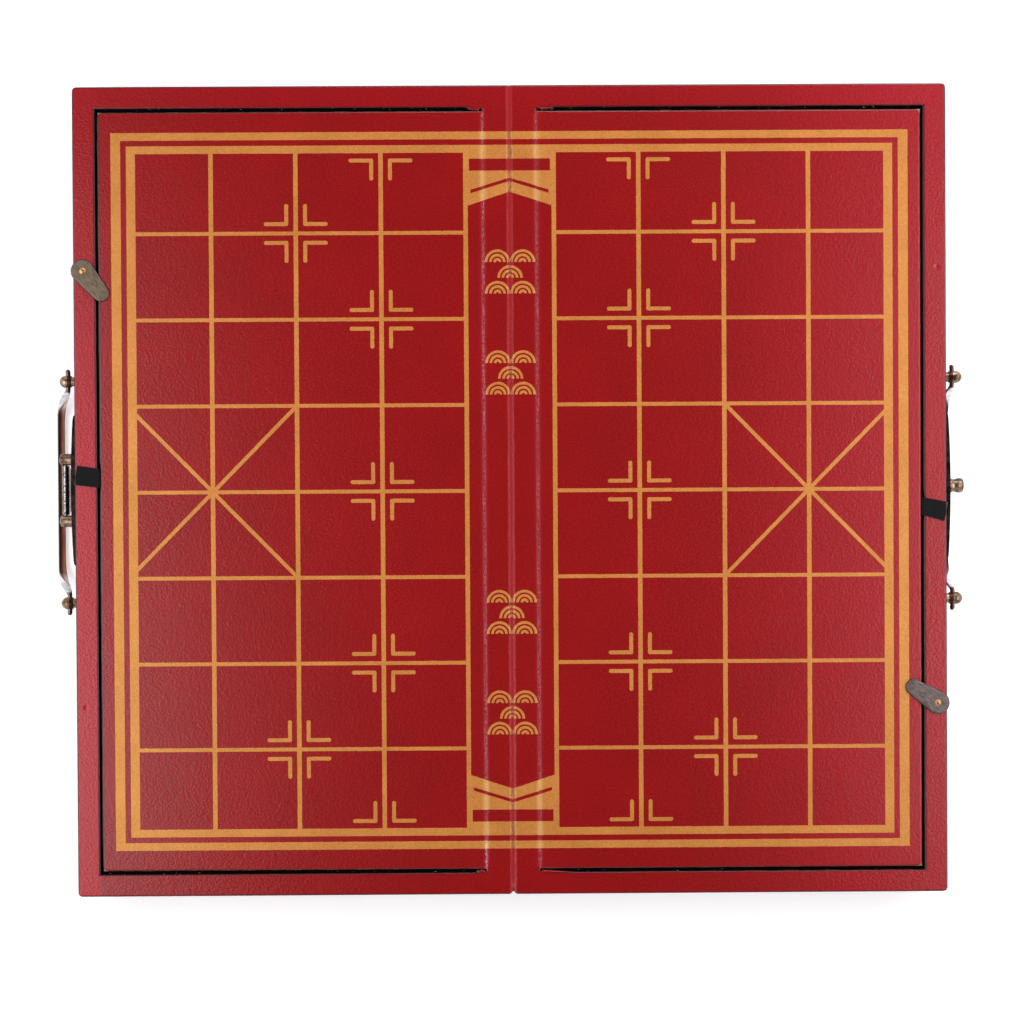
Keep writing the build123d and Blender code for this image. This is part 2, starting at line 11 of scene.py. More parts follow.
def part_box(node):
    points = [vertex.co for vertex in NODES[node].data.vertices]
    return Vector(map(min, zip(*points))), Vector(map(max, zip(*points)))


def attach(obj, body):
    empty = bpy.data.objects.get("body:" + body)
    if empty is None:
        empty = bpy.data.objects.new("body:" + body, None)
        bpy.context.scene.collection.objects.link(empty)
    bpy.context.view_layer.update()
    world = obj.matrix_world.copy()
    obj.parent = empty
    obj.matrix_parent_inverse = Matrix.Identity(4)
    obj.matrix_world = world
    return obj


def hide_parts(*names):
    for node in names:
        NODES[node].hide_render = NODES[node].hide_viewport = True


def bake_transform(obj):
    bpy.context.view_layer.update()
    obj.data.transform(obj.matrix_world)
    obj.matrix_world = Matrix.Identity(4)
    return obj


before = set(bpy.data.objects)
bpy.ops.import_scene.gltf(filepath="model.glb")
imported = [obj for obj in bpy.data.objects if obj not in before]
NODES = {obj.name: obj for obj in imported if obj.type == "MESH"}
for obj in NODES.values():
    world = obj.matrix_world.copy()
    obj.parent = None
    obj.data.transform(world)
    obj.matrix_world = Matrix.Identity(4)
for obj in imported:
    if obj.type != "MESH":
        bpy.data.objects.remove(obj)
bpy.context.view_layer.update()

MM = 0.001
SIDES = {"right": 1, "left": -1}
SHARP_ANGLE = radians(38)


def span(node_name, axis):
    """Lowest and highest coordinate of a CAD node along an axis, in millimetres."""
    low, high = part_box(node_name)
    return low[axis] / MM, high[axis] / MM


# ---- places, read from the frame ----

SPINE_X, SIDE_X = span("right_rim_leather", 0)
END_Y = span("right_rim_leather", 1)[1]
WALL_TOP, TOP = span("right_rim_leather", 2)
SKIN = TOP - WALL_TOP
LID_END_X = span("right_lid_leather", 0)[1]
LID_END_Y = span("right_lid_leather", 1)[1]
CREASE_X, WELL_END_X = span("right_floor_lining", 0)
WELL_END_Y = span("right_floor_lining", 1)[1]
LID_BOTTOM = span("right_lid_lining", 2)[0]

# ---- how the leather lies ----

SEAM_X = 8.0
CORNER_RADIUS = 1.9
LID_CORNER_RADIUS = 2.4
LID_EDGE_RADIUS = 0.75
EDGE_WANDER = 0.13
SLIT_OVERHANG = 0.42
SLIT_GAP_LEFT = 0.08
SLIT_EDGE_RADIUS = 0.6
GRID_STEP = 3.4
WAVE_HEIGHT = 0.035
WAVE_LENGTH = 26.0
CREASE_DEPTH = 0.17
CREASE_REACH = 1.1
FOLD_DEPTH = 0.24
FOLD_REACH = 1.8
NOTCH_DEPTH_NEAR = 1.3
NOTCH_DEPTH_FAR = 0.15
NOTCH_REACH = 1.9
DENT_RADIUS = 1.3
DENT_DEPTH = 0.3
WALL_FOOT = 0.7
WALL_PAINTED_LIGHT = 0.2
PRINT_GAP = 0.17
PRINT_LIFT = 0.07
PRINT_SINK = 0.05
PRINT_ROUGHNESS = 0.075
FRAY_SEED = 7

# ---- fittings and ribbons, as on the real case ----

BUTTON_IN = 4.0
BUTTON_Y = {"right": -90.2, "left": 93.0}
BUTTON_HEADING = {"right": radians(146.9), "left": radians(180 - 230.5)}
BUTTON_ROOT_RADIUS = 4.8
BUTTON_TIP_RADIUS = 3.4
BUTTON_REACH = 12.2
BUTTON_HOLE = 1.0
BAIL_OUT = 4.5
BAIL_Y = 0.2
BAIL_Z = 20.0
BAIL_TILT = {"right": 0.0, "left": 20.0}
RIBBON_ROOT_Y = {"right": (-11.2, -3.6), "left": (2.1, 10.1)}
RIBBON_END_Y = {"right": (-13.8, -5.9), "left": (3.5, 11.5)}
RIBBON_END_X = {"right": (182.0, 183.6), "left": (183.3, 182.0)}
RIBBON_HALF = 0.2

# ---- light ----

SOFTBOXES = (
    ("left_softbox", (-0.37, -0.07, 0.42), 1.85),
    ("right_softbox", (0.41, -0.02, 0.42), 2.05),
    ("far_softbox", (0.18, 0.61, 0.42), 2.8),
)
SOFTBOX_SIZE = (0.5, 0.3)
SOFTBOX_COLOUR = (0.94, 0.96, 1.0)
ROOM_LIGHT = (0.45, 0.02)
FLOOR_LIFT = 0.52
FLOOR_LIFT_REACH = (0.35, 1.2)

# ---- table and camera: radius and height in metres, lens in millimetres, angles in degrees ----

SWEEP = ((0.02, 0.0), (0.6, 0.0), (1.5, 0.0), (1.85, 0.04), (2.15, 0.2), (2.35, 0.5), (2.4, 1.0), (2.4, 2.0))
SWEEP_STEPS = 64
LENS = 83.7
SENSOR_WIDTH = 36.0
CAMERA_PLACE = (-0.00585, 0.00621, 1.032)
CAMERA_TURN = (-0.868, -0.355, -0.330)


# ---- small tools ----


def linear(hex_colour):
    """An sRGB hex colour as a linear RGBA tuple."""
    channels = [int(hex_colour[i : i + 2], 16) / 255 for i in (1, 3, 5)]
    return tuple(c / 12.92 if c <= 0.04045 else ((c + 0.055) / 1.055) ** 2.4 for c in channels) + (1.0,)


def smooth_step(low, high, value):
    """Smooth change from 0 at low to 1 at high; low may be the greater one."""
    t = min(1.0, max(0.0, (value - low) / (high - low)))
    return t * t * (3 - 2 * t)


def wave(x, y, length, seed=0.0):
    """Smooth noise between about -1 and 1, with a wavelength in millimetres."""
    return noise.noise(Vector((x / length, y / length, seed)))


def ruler(low, high, step, *clusters):
    """Grid lines from low to high, with clusters (middle, reach, step) of closer lines."""
    count = max(1, round((high - low) / step))
    marks = {round(low + (high - low) * i / count, 3) for i in range(count + 1)}
    for middle, reach, fine in clusters:
        steps = round(reach / fine)
        marks |= {round(middle + i * fine, 3) for i in range(-steps, steps + 1)}
    return sorted(m for m in marks if low <= m <= high)


def node(tree, kind, inputs=(), **settings):
    """Adds a shader node. Inputs go by place or name; each is a value, a hex colour, a socket or a node."""
    added = tree.nodes.new("ShaderNode" + kind)
    for key, value in settings.items():
        setattr(added, key, value)
    for key, value in inputs.items() if isinstance(inputs, dict) else enumerate(inputs):
        if isinstance(value, bpy.types.Node):
            value = next(output for output in value.outputs if output.enabled)
        if isinstance(value, bpy.types.NodeSocket):
            tree.links.new(value, added.inputs[key])
        else:
            added.inputs[key].default_value = linear(value) if isinstance(value, str) else value
    return added


def new_object(name, data):
    """An object in the scene."""
    item = bpy.data.objects.new(name, data)
    bpy.context.scene.collection.objects.link(item)
    return item


def bridge(bm, rings):
    """Joins each ring of vertices to the next one by a band of faces."""
    for ring, following in zip(rings, rings[1:]):
        for k in range(len(ring)):
            m = (k + 1) % len(ring)
            bm.faces.new([ring[k], ring[m], following[m], following[k]])


def new_piece(name, bm, material, attributes=()):
    """A mesh object from a bmesh in millimetres, smooth-shaded with sharp edges kept sharp."""
    bmesh.ops.recalc_face_normals(bm, faces=bm.faces)
    for edge in bm.edges:
        edge.smooth = len(edge.link_faces) == 2 and edge.calc_face_angle(0) < SHARP_ANGLE
    for face in bm.faces:
        face.smooth = True
    mesh = bpy.data.meshes.new(name)
    rest = [tuple(v.co) for v in bm.verts]
    bm.transform(Matrix.Scale(MM, 4))
    bm.to_mesh(mesh)
    bm.free()
    stored = mesh.attributes.new("rest", "FLOAT_VECTOR", "POINT")
    stored.data.foreach_set("vector", [c for point in rest for c in point])
    for attribute_name, measure in attributes:
        layer = mesh.attributes.new(attribute_name, "FLOAT", "POINT")
        layer.data.foreach_set("value", [measure(*point) for point in rest])
    mesh.materials.append(material)
    piece = new_object(name, mesh)
    return piece


# ---- materials ----

SOFTLY = {"interpolation_type": "SMOOTHSTEP"}
RGBA = {"data_type": "RGBA"}


def bare_material(name, *stored):
    """A new material, what adds a node to its empty tree, and the factors stored on its meshes."""
    material = bpy.data.materials.new(name)
    material.use_nodes = True
    material.node_tree.nodes.clear()
    add = partial(node, material.node_tree)
    return material, add, *[add("Attribute", attribute_name=a).outputs["Fac"] for a in stored]


def layered(add, colour, layers):
    """Lays colours over a first one, each by its mask times a strength."""
    for mask, strength, over in layers:
        share = add("Math", [mask, strength], operation="MULTIPLY")
        colour = add("Mix", {0: share, 6: colour, 7: over}, **RGBA)
    return colour


def crease_marks(add, place):
    """Masks for what folding has done: worn lines over the lid creases and a broad one over the fold, and a
    painted highlight beside the lid creases.
    """
    axes = add("SeparateXYZ", [place])
    drift = add("TexNoise", {"Vector": place, "Scale": 0.13, "Detail": 2.0})
    sway = add("Math", [drift, 1.0, -0.5], operation="MULTIPLY_ADD")
    x = add("Math", [axes.outputs["X"], sway], operation="ADD")
    # Only the board's face creases; on the walls and the bottom every crease is out of reach.
    below_face = add("MapRange", [axes.outputs["Z"], WALL_TOP - 0.6, WALL_TOP - 0.1, 50.0, 0.0])
    across = add("Math", [x], operation="ABSOLUTE")
    from_fold = add("Math", [across, below_face], operation="ADD")
    past_crease = add("Math", [from_fold, CREASE_X], operation="SUBTRACT")
    from_crease = add("Math", [past_crease], operation="ABSOLUTE")
    from_middle = add("Math", [axes.outputs["Y"]], operation="ABSOLUTE")

    # Fibres 0.4 mm wide and 1.1 mm long, as coarse as needed to show.
    long_cells = add("Mapping", {"Vector": place, "Scale": (2.6, 0.9, 1.0)})
    streaks = add("TexNoise", {"Vector": long_cells, "Scale": 1.0, "Detail": 3.0})
    fibres = add("MapRange", [streaks, 0.44, 0.6, 0.0, 1.0], **SOFTLY)
    stretches = add("TexNoise", {"Vector": place, "Scale": 0.04, "Detail": 2.0})
    patchy = add("MapRange", [stretches, 0.36, 0.6, 0.2, 0.6], **SOFTLY)
    lopsided = add("MapRange", [axes.outputs["X"], -1.0, 1.0, 1.0, 0.6], **SOFTLY)
    low_end = add("MapRange", [axes.outputs["Y"], -150.0, -145.0, 1.0, 0.0], **SOFTLY)
    left_side = add("MapRange", [axes.outputs["X"], -1.0, 1.0, 1.0, 0.0], **SOFTLY)
    torn_end = add("Math", [low_end, left_side], operation="MULTIPLY")
    strength = add("Math", [patchy, lopsided, torn_end], operation="MULTIPLY_ADD")

    on_lid = add("MapRange", [from_middle, WELL_END_Y - 2.0, WELL_END_Y, 1.0, 0.0], **SOFTLY)
    narrow = add("MapRange", [from_crease, 0.1, 0.75, 1.0, 0.0], **SOFTLY)
    wide = add("MapRange", [from_crease, 0.5, 2.2, 1.0, 0.0], **SOFTLY)
    worn_strip = add("Math", [narrow, strength], operation="MULTIPLY")
    broken_strip = add("Math", [worn_strip, fibres], operation="MULTIPLY")
    inside = add("MapRange", [from_fold, 0.8, 1.1, 0.0, 1.0], **SOFTLY)
    outside = add("MapRange", [from_fold, 1.2, 1.5, 1.0, 0.0], **SOFTLY)
    side_lines = add("Math", [inside, outside], operation="MULTIPLY")
    core = add("MapRange", [from_fold, 0.45, 0.85, 1.0, 0.0], **SOFTLY)
    return {
        "line": add("Math", [broken_strip, on_lid], operation="MULTIPLY"),
        # Painted highlight: a paler zone beside each lid crease, on its slopes.
        "halo": add("Math", [wide, on_lid], operation="MULTIPLY"),
        "band": add("MapRange", [from_fold, 0.9, 1.6, 1.0, 0.0], **SOFTLY),
        "core": add("Math", [core, fibres], operation="MULTIPLY"),
        "edge": add("Math", [side_lines, fibres], operation="MULTIPLY"),
    }


def pu_leather():
    """Pebble-grained PU leather over board: deep red, satin, paler and dry where it creases."""
    material, add, shade, cut, tone = bare_material("pu_leather_red", "shade", "cut", "tone")
    place = add("Attribute", attribute_name="rest").outputs["Vector"]
    marks = crease_marks(add, place)

    # Pebbles of 0.9 mm, a little coarser than the real grain so that they show at all.
    pebbles = add("TexVoronoi", {"Vector": place, "Scale": 1.1, "Smoothness": 0.5}, feature="SMOOTH_F1")
    creping = add("TexNoise", {"Vector": place, "Scale": 0.3, "Detail": 4.0, "Roughness": 0.65})
    clouds = add("TexNoise", {"Vector": place, "Scale": 0.03, "Detail": 3.0, "Roughness": 0.55})
    speckle = add("TexNoise", {"Vector": place, "Scale": 1.5, "Detail": 3.0, "Roughness": 0.7})
    # Nicks about 40 mm apart and half a millimetre across, some dark and some pale lint.
    nicks = add("TexVoronoi", {"Vector": place, "Scale": 0.024})
    spots = add("MapRange", [nicks, 0.006, 0.011, 1.0, 0.0])
    lint = add("MapRange", [nicks.outputs["Color"], 0.62, 0.64, 0.0, 1.0])

    cloudy = add("MapRange", [clouds, 0.3, 0.7, 0.0, 1.0])
    dye = add("Mix", {0: cloudy, 6: "#8c0608", 7: "#960709"}, **RGBA)
    # Painted light: a lighter red over the dye where the lamps light the leather more.
    dye_with_painted_light = layered(add, dye, [(tone, 1.0, "#b00e22")])
    grain = add("MapRange", [speckle, 0.25, 0.75, 0.74, 1.26])
    grained = add("Mix", {0: 1.0, 6: dye_with_painted_light, 7: grain}, blend_type="MULTIPLY", **RGBA)
    nick_colour = add("Mix", {0: lint, 6: "#3a0a10", 7: "#d8a8a4"}, **RGBA)
    layers = (
        # Painted highlight beside the lid creases.
        (marks["halo"], 0.2, "#a82f3c"),
        (marks["band"], 0.5, "#b02a2e"),
        (marks["edge"], 0.08, "#cf8a92"),
        (marks["line"], 1.0, "#d28c96"),
        (spots, 1.0, nick_colour),
        (shade, 1.0, "#1e0714"),
        # Brown backing at cut edges, at the slits only on the edges that face the left lamp: partly painted
        # light.
        (cut, 1.0, "#3c1f1e"),
    )
    colour = layered(add, grained, layers)

    height = add("Math", [creping, 1.2, pebbles], operation="MULTIPLY_ADD")
    bump = add("Bump", {"Strength": 1.0, "Distance": 0.055 * MM, "Height": height})
    rough = add("MapRange", [speckle, 0.25, 0.75, 0.25, 0.38])
    looks = {"Base Color": colour, "Roughness": rough, "Specular IOR Level": 0.47, "Normal": bump}
    add("OutputMaterial", [add("BsdfPrincipled", looks)])
    return material


def gold_paint():
    """Screen-printed ochre gold paint on the grain: satin, speckled, crazed where it creases."""
    material, add = bare_material("screen_print_ochre_gold")
    place = add("Attribute", attribute_name="rest").outputs["Vector"]
    marks = crease_marks(add, place)
    pebbles = add("TexVoronoi", {"Vector": place, "Scale": 1.1, "Smoothness": 0.5}, feature="SMOOTH_F1")
    speckle = add("TexNoise", {"Vector": place, "Scale": 1.7, "Detail": 3.0, "Roughness": 0.65})
    clouds = add("TexNoise", {"Vector": place, "Scale": 0.06, "Detail": 2.0})
    mottle = add("Math", [clouds, 0.4, speckle], operation="MULTIPLY_ADD")
    spread = add("MapRange", [mottle, 0.45, 0.95, 0.0, 1.0])
    ochre = add("Mix", {0: spread, 6: "#bd6e31", 7: "#de914a"}, **RGBA)
    layers = (
        # Painted highlight beside the lid creases.
        (marks["halo"], 0.3, "#eec080"),
        (marks["line"], 1.0, "#f6dcae"),
        (marks["band"], 0.35, "#a86a50"),
        (marks["core"], 0.85, "#7a3a34"),
        (marks["edge"], 0.55, "#eec48c"),
    )
    colour = layered(add, ochre, layers)
    bump = add("Bump", {"Strength": 1.0, "Distance": 0.045 * MM, "Height": pebbles})
    gloss = {"Metallic": 0.12, "Roughness": 0.4, "IOR": 1.7, "Specular Tint": "#fff8a8"}
    add("OutputMaterial", [add("BsdfPrincipled", {"Base Color": colour, "Normal": bump, **gloss})])
    return material


def metal(name, dark, light, roughness, grain, grime=None):
    """Aged metal: dark patina in patches, paler where polished. The last argument, if given, darkens a band
    across X, as X from and to.
    """
    material, add = bare_material(name)
    place = add("TexCoord").outputs["Object"]
    patches = add("TexNoise", {"Vector": place, "Scale": 1 / (grain * MM), "Detail": 5.0, "Roughness": 0.6})
    pits = add("TexNoise", {"Vector": place, "Scale": 5 / (grain * MM), "Detail": 2.0})
    polish = add("MapRange", [patches, 0.38, 0.6, 0.0, 1.0])
    colour = add("Mix", {0: polish, 6: dark, 7: light}, **RGBA)
    if grime:
        x = add("Math", [add("SeparateXYZ", [place])], operation="ABSOLUTE")
        from_middle = add("Math", [x, sum(grime) / 2 * MM], operation="SUBTRACT")
        away = add("Math", [from_middle], operation="ABSOLUTE")
        half = (grime[1] - grime[0]) / 2 * MM
        ring = add("MapRange", [away, half - 0.25 * MM, half + 0.15 * MM, 0.9, 0.0], **SOFTLY)
        colour = layered(add, colour, [(ring, 1.0, "#2c1410")])
    rough = add("MapRange", [pits, 0.0, 1.0, roughness - 0.06, roughness + 0.1])
    bump = add("Bump", {"Strength": 0.3, "Distance": 0.03 * MM, "Height": pits})
    looks = {"Base Color": colour, "Metallic": 1.0, "Roughness": rough, "Normal": bump}
    add("OutputMaterial", [add("BsdfPrincipled", looks)])
    return material


def bail_bronze_painted_light():
    """The bails' bronze with painted light: brown on top and paler towards the case, painted dark reflections
    on the outside of the grip, a painted white reflection on the blade's outer face at the shoulders, and
    painted reflections on the pins.
    """
    stored = ("out", "past_arris", "pin", "grip")
    material, add, out, past_arris, pin, grip = bare_material("hand_polished_bronze", *stored)
    place = add("TexCoord").outputs["Object"]
    along = add("Mapping", {"Vector": place, "Scale": (1.0, 0.3, 1.0)})
    patches = add("TexNoise", {"Vector": along, "Scale": 1 / (2.5 * MM), "Detail": 4.0})
    # Painted light: paler towards the case, darker outwards.
    painted_light_inward = add("MapRange", [out, 0.7, -0.9, 0.0, 1.0], **SOFTLY)
    top = add("Mix", {0: painted_light_inward, 6: "#7a4a2e", 7: "#e6c4a4"}, **RGBA)
    shoulder = add("Mix", {0: painted_light_inward, 6: "#94706a", 7: "#e8d4d2"}, **RGBA)
    inner = add("Mix", {0: grip, 6: shoulder, 7: top}, **RGBA)
    beyond = add("MapRange", [past_arris, -0.15, 0.15, 0.0, 1.0])
    # Painted reflections on the blade's outer face: white at the shoulders, dark along the grip.
    outer = add("Mix", {0: grip, 6: "#f2f0f4", 7: "#2a1a22"}, **RGBA)
    blade = add("Mix", {0: beyond, 6: inner, 7: outer}, **RGBA)
    # Painted dark reflection along the outermost edge of the grip.
    rim = add("MapRange", [out, 0.8, 1.15, 0.0, 1.0], **SOFTLY)
    painted_dark_reflection = add("Math", [rim, grip], operation="MULTIPLY")
    # Painted reflections on the pins: dark red on the inner side, pale on the outer side.
    painted_pale_outer = add("MapRange", [out, 0.1, 0.5, 0.0, 1.0], **SOFTLY)
    pin_painted_reflections = add("Mix", {0: painted_pale_outer, 6: "#4a1a14", 7: "#8a7a72"}, **RGBA)
    whole = layered(add, blade, ((painted_dark_reflection, 1.0, "#2a1a22"), (pin, 1.0, pin_painted_reflections)))
    dulled = add("MapRange", [patches, 0.35, 0.65, 0.75, 1.1])
    aged = add("Mix", {0: 1.0, 6: whole, 7: dulled}, blend_type="MULTIPLY", **RGBA)
    rough = add("MapRange", [patches, 0.3, 0.7, 0.38, 0.5])
    add("OutputMaterial", [add("BsdfPrincipled", {"Base Color": aged, "Metallic": 0.6, "Roughness": rough})])
    return material


def worn_sheet(name, shadow, body, drawn_line):
    """Tumbled, lacquered bronze sheet of a turn button: mottled, drawn along its length, dark at the edge."""
    material, add, along, across, edge = bare_material(name, "along", "across", "edge")
    place = add("CombineXYZ", [along, across])
    stretched = add("Mapping", {"Vector": place, "Scale": (0.35, 2.4, 1.0)})
    draw_lines = add("TexNoise", {"Vector": stretched, "Scale": 0.9, "Detail": 4.0, "Roughness": 0.75})
    blotches = add("TexNoise", {"Vector": place, "Scale": 0.35, "Detail": 4.0, "Roughness": 0.6})
    # Tumbling marks half a millimetre across.
    dings = add("TexNoise", {"Vector": place, "Scale": 1.8, "Detail": 2.0})
    cloudy = add("MapRange", [blotches, 0.38, 0.62, 0.0, 1.0])
    patina = add("Mix", {0: cloudy, 6: shadow, 7: body}, **RGBA)
    drawn = add("MapRange", [draw_lines, 0.42, 0.7, 0.0, 0.8])
    flecks = add("MapRange", [dings, 0.62, 0.72, 0.0, 0.5])
    layers = ((drawn, 1.0, drawn_line), (flecks, 1.0, drawn_line), (edge, 1.0, "#261c1a"))
    colour = layered(add, patina, layers)
    height = add("Math", [dings, 0.6, draw_lines], operation="MULTIPLY_ADD")
    bump = add("Bump", {"Strength": 0.7, "Distance": 0.04 * MM, "Height": height})
    rough = add("MapRange", [blotches, 0.3, 0.7, 0.42, 0.58])
    looks = {"Base Color": colour, "Metallic": 0.5, "Roughness": rough, "Normal": bump}
    add("OutputMaterial", [add("BsdfPrincipled", looks)])
    return material


def flock():
    """Black flocked cloth: very dark and matt, with a faint nap."""
    material, add = bare_material("flocked_cloth_black")
    place = add("TexCoord").outputs["Object"]
    nap = add("TexNoise", {"Vector": place, "Scale": 1 / (0.9 * MM), "Detail": 3.0})
    colour = add("Mix", {0: nap, 6: "#050404", 7: "#120e0e"}, **RGBA)
    bump = add("Bump", {"Strength": 0.6, "Distance": 0.15 * MM, "Height": nap})
    looks = {"Base Color": colour, "Roughness": 0.95, "Specular IOR Level": 0.1, "Normal": bump}
    add("OutputMaterial", [add("BsdfPrincipled", looks)])
    return material


def grosgrain():
    """Woven black ribbon: fine ribs across its width, drawn 0.8 mm apart to show."""
    material, add, edge = bare_material("grosgrain_ribbon_black", "edge")
    place = add("Attribute", attribute_name="rest").outputs["Vector"]
    waves = {"Vector": place, "Scale": 0.39, "Distortion": 0.8, "Detail": 1.0}
    ribs = add("TexWave", waves, bands_direction="X").outputs["Fac"]
    threads = add("TexNoise", {"Vector": place, "Scale": 2.4, "Detail": 2.0})
    black = add("Mix", {0: threads, 6: "#08080a", 7: "#151517"}, **RGBA)
    # Painted highlight on the rib crests, and a selvedge that has worn to brown.
    colour = layered(add, black, ((ribs, 0.35, "#222226"), (edge, 1.0, "#6b5a50")))
    bump = add("Bump", {"Strength": 0.5, "Distance": 0.08 * MM, "Height": ribs})
    looks = {"Base Color": colour, "Roughness": 0.8, "Specular IOR Level": 0.12, "Normal": bump}
    add("OutputMaterial", [add("BsdfPrincipled", looks)])
    return material


def frayed_backing():
    """Torn fibres of the leather's cotton backing: pale fawn to red-brown, dull."""
    material, add = bare_material("frayed_backing_fawn")
    place = add("Attribute", attribute_name="rest").outputs["Vector"]
    dirt = add("TexNoise", {"Vector": place, "Scale": 1.2, "Detail": 2.0})
    soiled = add("MapRange", [dirt, 0.4, 0.62, 0.0, 1.0])
    colour = add("Mix", {0: soiled, 6: "#5a1f1c", 7: "#cfa28e"}, **RGBA)
    looks = {"Base Color": colour, "Roughness": 0.9, "Specular IOR Level": 0.1}
    add("OutputMaterial", [add("BsdfPrincipled", looks)])
    return material


def box_board():
    """Bare poplar board: pale brown, with grain along its length."""
    material, add = bare_material("poplar_board")
    place = add("TexCoord").outputs["Object"]
    stretched = add("Mapping", {"Vector": place, "Scale": (400, 25, 400)})
    grain = add("TexNoise", {"Vector": stretched, "Scale": 1.0, "Detail": 4.0})
    colour = add("Mix", {0: grain, 6: "#7d6346", 7: "#b39a76"}, **RGBA)
    bump = add("Bump", {"Strength": 0.3, "Distance": 0.1 * MM, "Height": grain})
    add("OutputMaterial", [add("BsdfPrincipled", {"Base Color": colour, "Roughness": 0.8, "Normal": bump})])
    return material


LEATHER = pu_leather()
GOLD = gold_paint()
FLOCK = flock()
RIBBON = grosgrain()
FRAY = frayed_backing()
BOARD = box_board()
SHEET_BRONZE = {
    "left": worn_sheet("tumbled_bronze_sheet_brown", "#4c3f37", "#695643", "#94806a"),
    "right": worn_sheet("tumbled_bronze_sheet_grey", "#40353a", "#5e4e4c", "#8a7a70"),
}
BRONZE = metal("antique_bronze", "#4c3426", "#9c8470", 0.32, 2.4)
# A darker band round each post, next to where the bail hangs on it.
POST_DARK_BAND = (SIDE_X + 3.1, SIDE_X + 4.7)
POST_BRONZE = metal("antique_bronze_posts", "#4c3426", "#a08872", 0.3, 2.4, POST_DARK_BAND)
BLACK_BRONZE = metal("blackened_bronze", "#120b0a", "#2e211e", 0.3, 3.0)
BRASS = metal("aged_brass", "#6a4a30", "#c8a070", 0.4, 1.2)
BAIL_BRONZE = bail_bronze_painted_light()
WORN_STEEL = metal("scuffed_steel", "#2c2628", "#a49c98", 0.2, 0.7)


# ---- the leather's own shape ----

# Where each tray's button has pressed into the other tray's rim when the case was folded.
DENTS = [(-way * (SIDE_X - BUTTON_IN), BUTTON_Y[side]) for side, way in SIDES.items()]


def crease_at(x, middle, reach):
    """1 in the middle of a crease, falling smoothly to 0 at its reach."""
    return 1 - smooth_step(0, reach, abs(x - middle))


def surface(x, y):
    """Height of the leather's face above the table."""
    height = TOP - WAVE_HEIGHT * (0.5 + 0.5 * wave(x, y, WAVE_LENGTH))
    height -= FOLD_DEPTH * crease_at(x, 0, FOLD_REACH)
    on_lid = 1 - smooth_step(LID_END_Y - 2.5, LID_END_Y, abs(y))
    height -= CREASE_DEPTH * crease_at(abs(x), CREASE_X, CREASE_REACH) * on_lid
    for dent_x, dent_y in DENTS:
        away = sqrt((x - dent_x) ** 2 + (y - dent_y) ** 2)
        height -= DENT_DEPTH * (1 - smooth_step(0, DENT_RADIUS, away))
    return height


def round_off(distance, radius):
    """How far a rounded edge has dropped at a distance in from it."""
    if distance >= radius:
        return 0.0
    return radius - sqrt(max(0.0, radius**2 - (radius - distance) ** 2))


def round_corner(x, y, edge_x, edge_y, radius):
    """Moves a grid point of a square corner onto the rounded corner."""
    u = (abs(x) - (edge_x - radius)) / radius
    v = (abs(y) - (edge_y - radius)) / radius
    if u <= 0 or v <= 0:
        return x, y
    new_x = edge_x - radius + radius * u * sqrt(1 - v * v / 2)
    new_y = edge_y - radius + radius * v * sqrt(1 - u * u / 2)
    return (new_x if x > 0 else -new_x), (new_y if y > 0 else -new_y)


def edge_dark(outer):
    """Painted shade: the turned-over outer edge is darkened to nearly black-red."""
    return 0.92 * (1 - smooth_step(0.15, 1.0, outer))


def painted_light_red(x, y, z):
    """Painted light, a lighter red where the lamps light the leather more: most at the right and the far
    side, and along the left rim.
    """
    right = 0.4 * smooth_step(80.0, 172.0, x)
    far = 0.22 * smooth_step(LID_END_Y - 4.0, END_Y, y)
    left_rim = (0.2 + 0.55 * smooth_step(130.0, 0.0, y)) * smooth_step(WELL_END_X - 1.0, WELL_END_X, -x)
    return right + far + left_rim


def slit_closed(x, y):
    """How far the hand-cut slit has been left closed by torn leather near the creases, from 0 to 1."""
    # For the right and far side or not: where closing starts and is full, and how much of the slit it takes.
    ends = {
        (False, True): (18.8, 15.8, 1.0),
        (True, True): (18.5, 16.5, 0.55),
        (False, False): (15.8, 13.6, 1.0),
        (True, False): (27.0, 11.5, 0.75),
    }
    start, full, share = ends[x > 0, y > 0]
    return share * smooth_step(start, full, abs(x)) * (0.85 + 0.15 * wave(x, y, 0.8, 2.0))


def overhang(side, y):
    """How far the leather hangs into the outer slit; none where the ribbon comes up."""
    low, high = RIBBON_ROOT_Y[side]
    away = max(low - y, y - high)
    return SLIT_OVERHANG * smooth_step(0.4, 2.4, away)


def grid_sheet(name, xs, ys, keep, place, attributes):
    """A sheet of leather over grid cells: face, underside and edges. place gives a point's x, y, z."""
    bm = bmesh.new()
    upper, lower = {}, {}

    def corner(i, j):
        if (i, j) not in upper:
            x, y, z = place(xs[i], ys[j])
            upper[i, j] = bm.verts.new((x, y, z))
            lower[i, j] = bm.verts.new((x, y, WALL_TOP))
        return i, j

    for i in range(len(xs) - 1):
        for j in range(len(ys) - 1):
            if keep((xs[i] + xs[i + 1]) / 2, (ys[j] + ys[j + 1]) / 2):
                loop = [corner(i, j), corner(i + 1, j), corner(i + 1, j + 1), corner(i, j + 1)]
                bm.faces.new([upper[k] for k in loop])
                bm.faces.new([lower[k] for k in reversed(loop)])
    names = {v: k for k, v in upper.items()}
    rim = [e for e in bm.edges if e.is_boundary and e.verts[0] in names]
    for edge in rim:
        a, b = names[edge.verts[0]], names[edge.verts[1]]
        bm.faces.new([upper[a], upper[b], lower[b], lower[a]])
    return new_piece(name, bm, LEATHER, attributes)


def bend_over_fold(piece):
    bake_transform(piece)


def bend_at_lid(piece):
    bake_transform(piece)


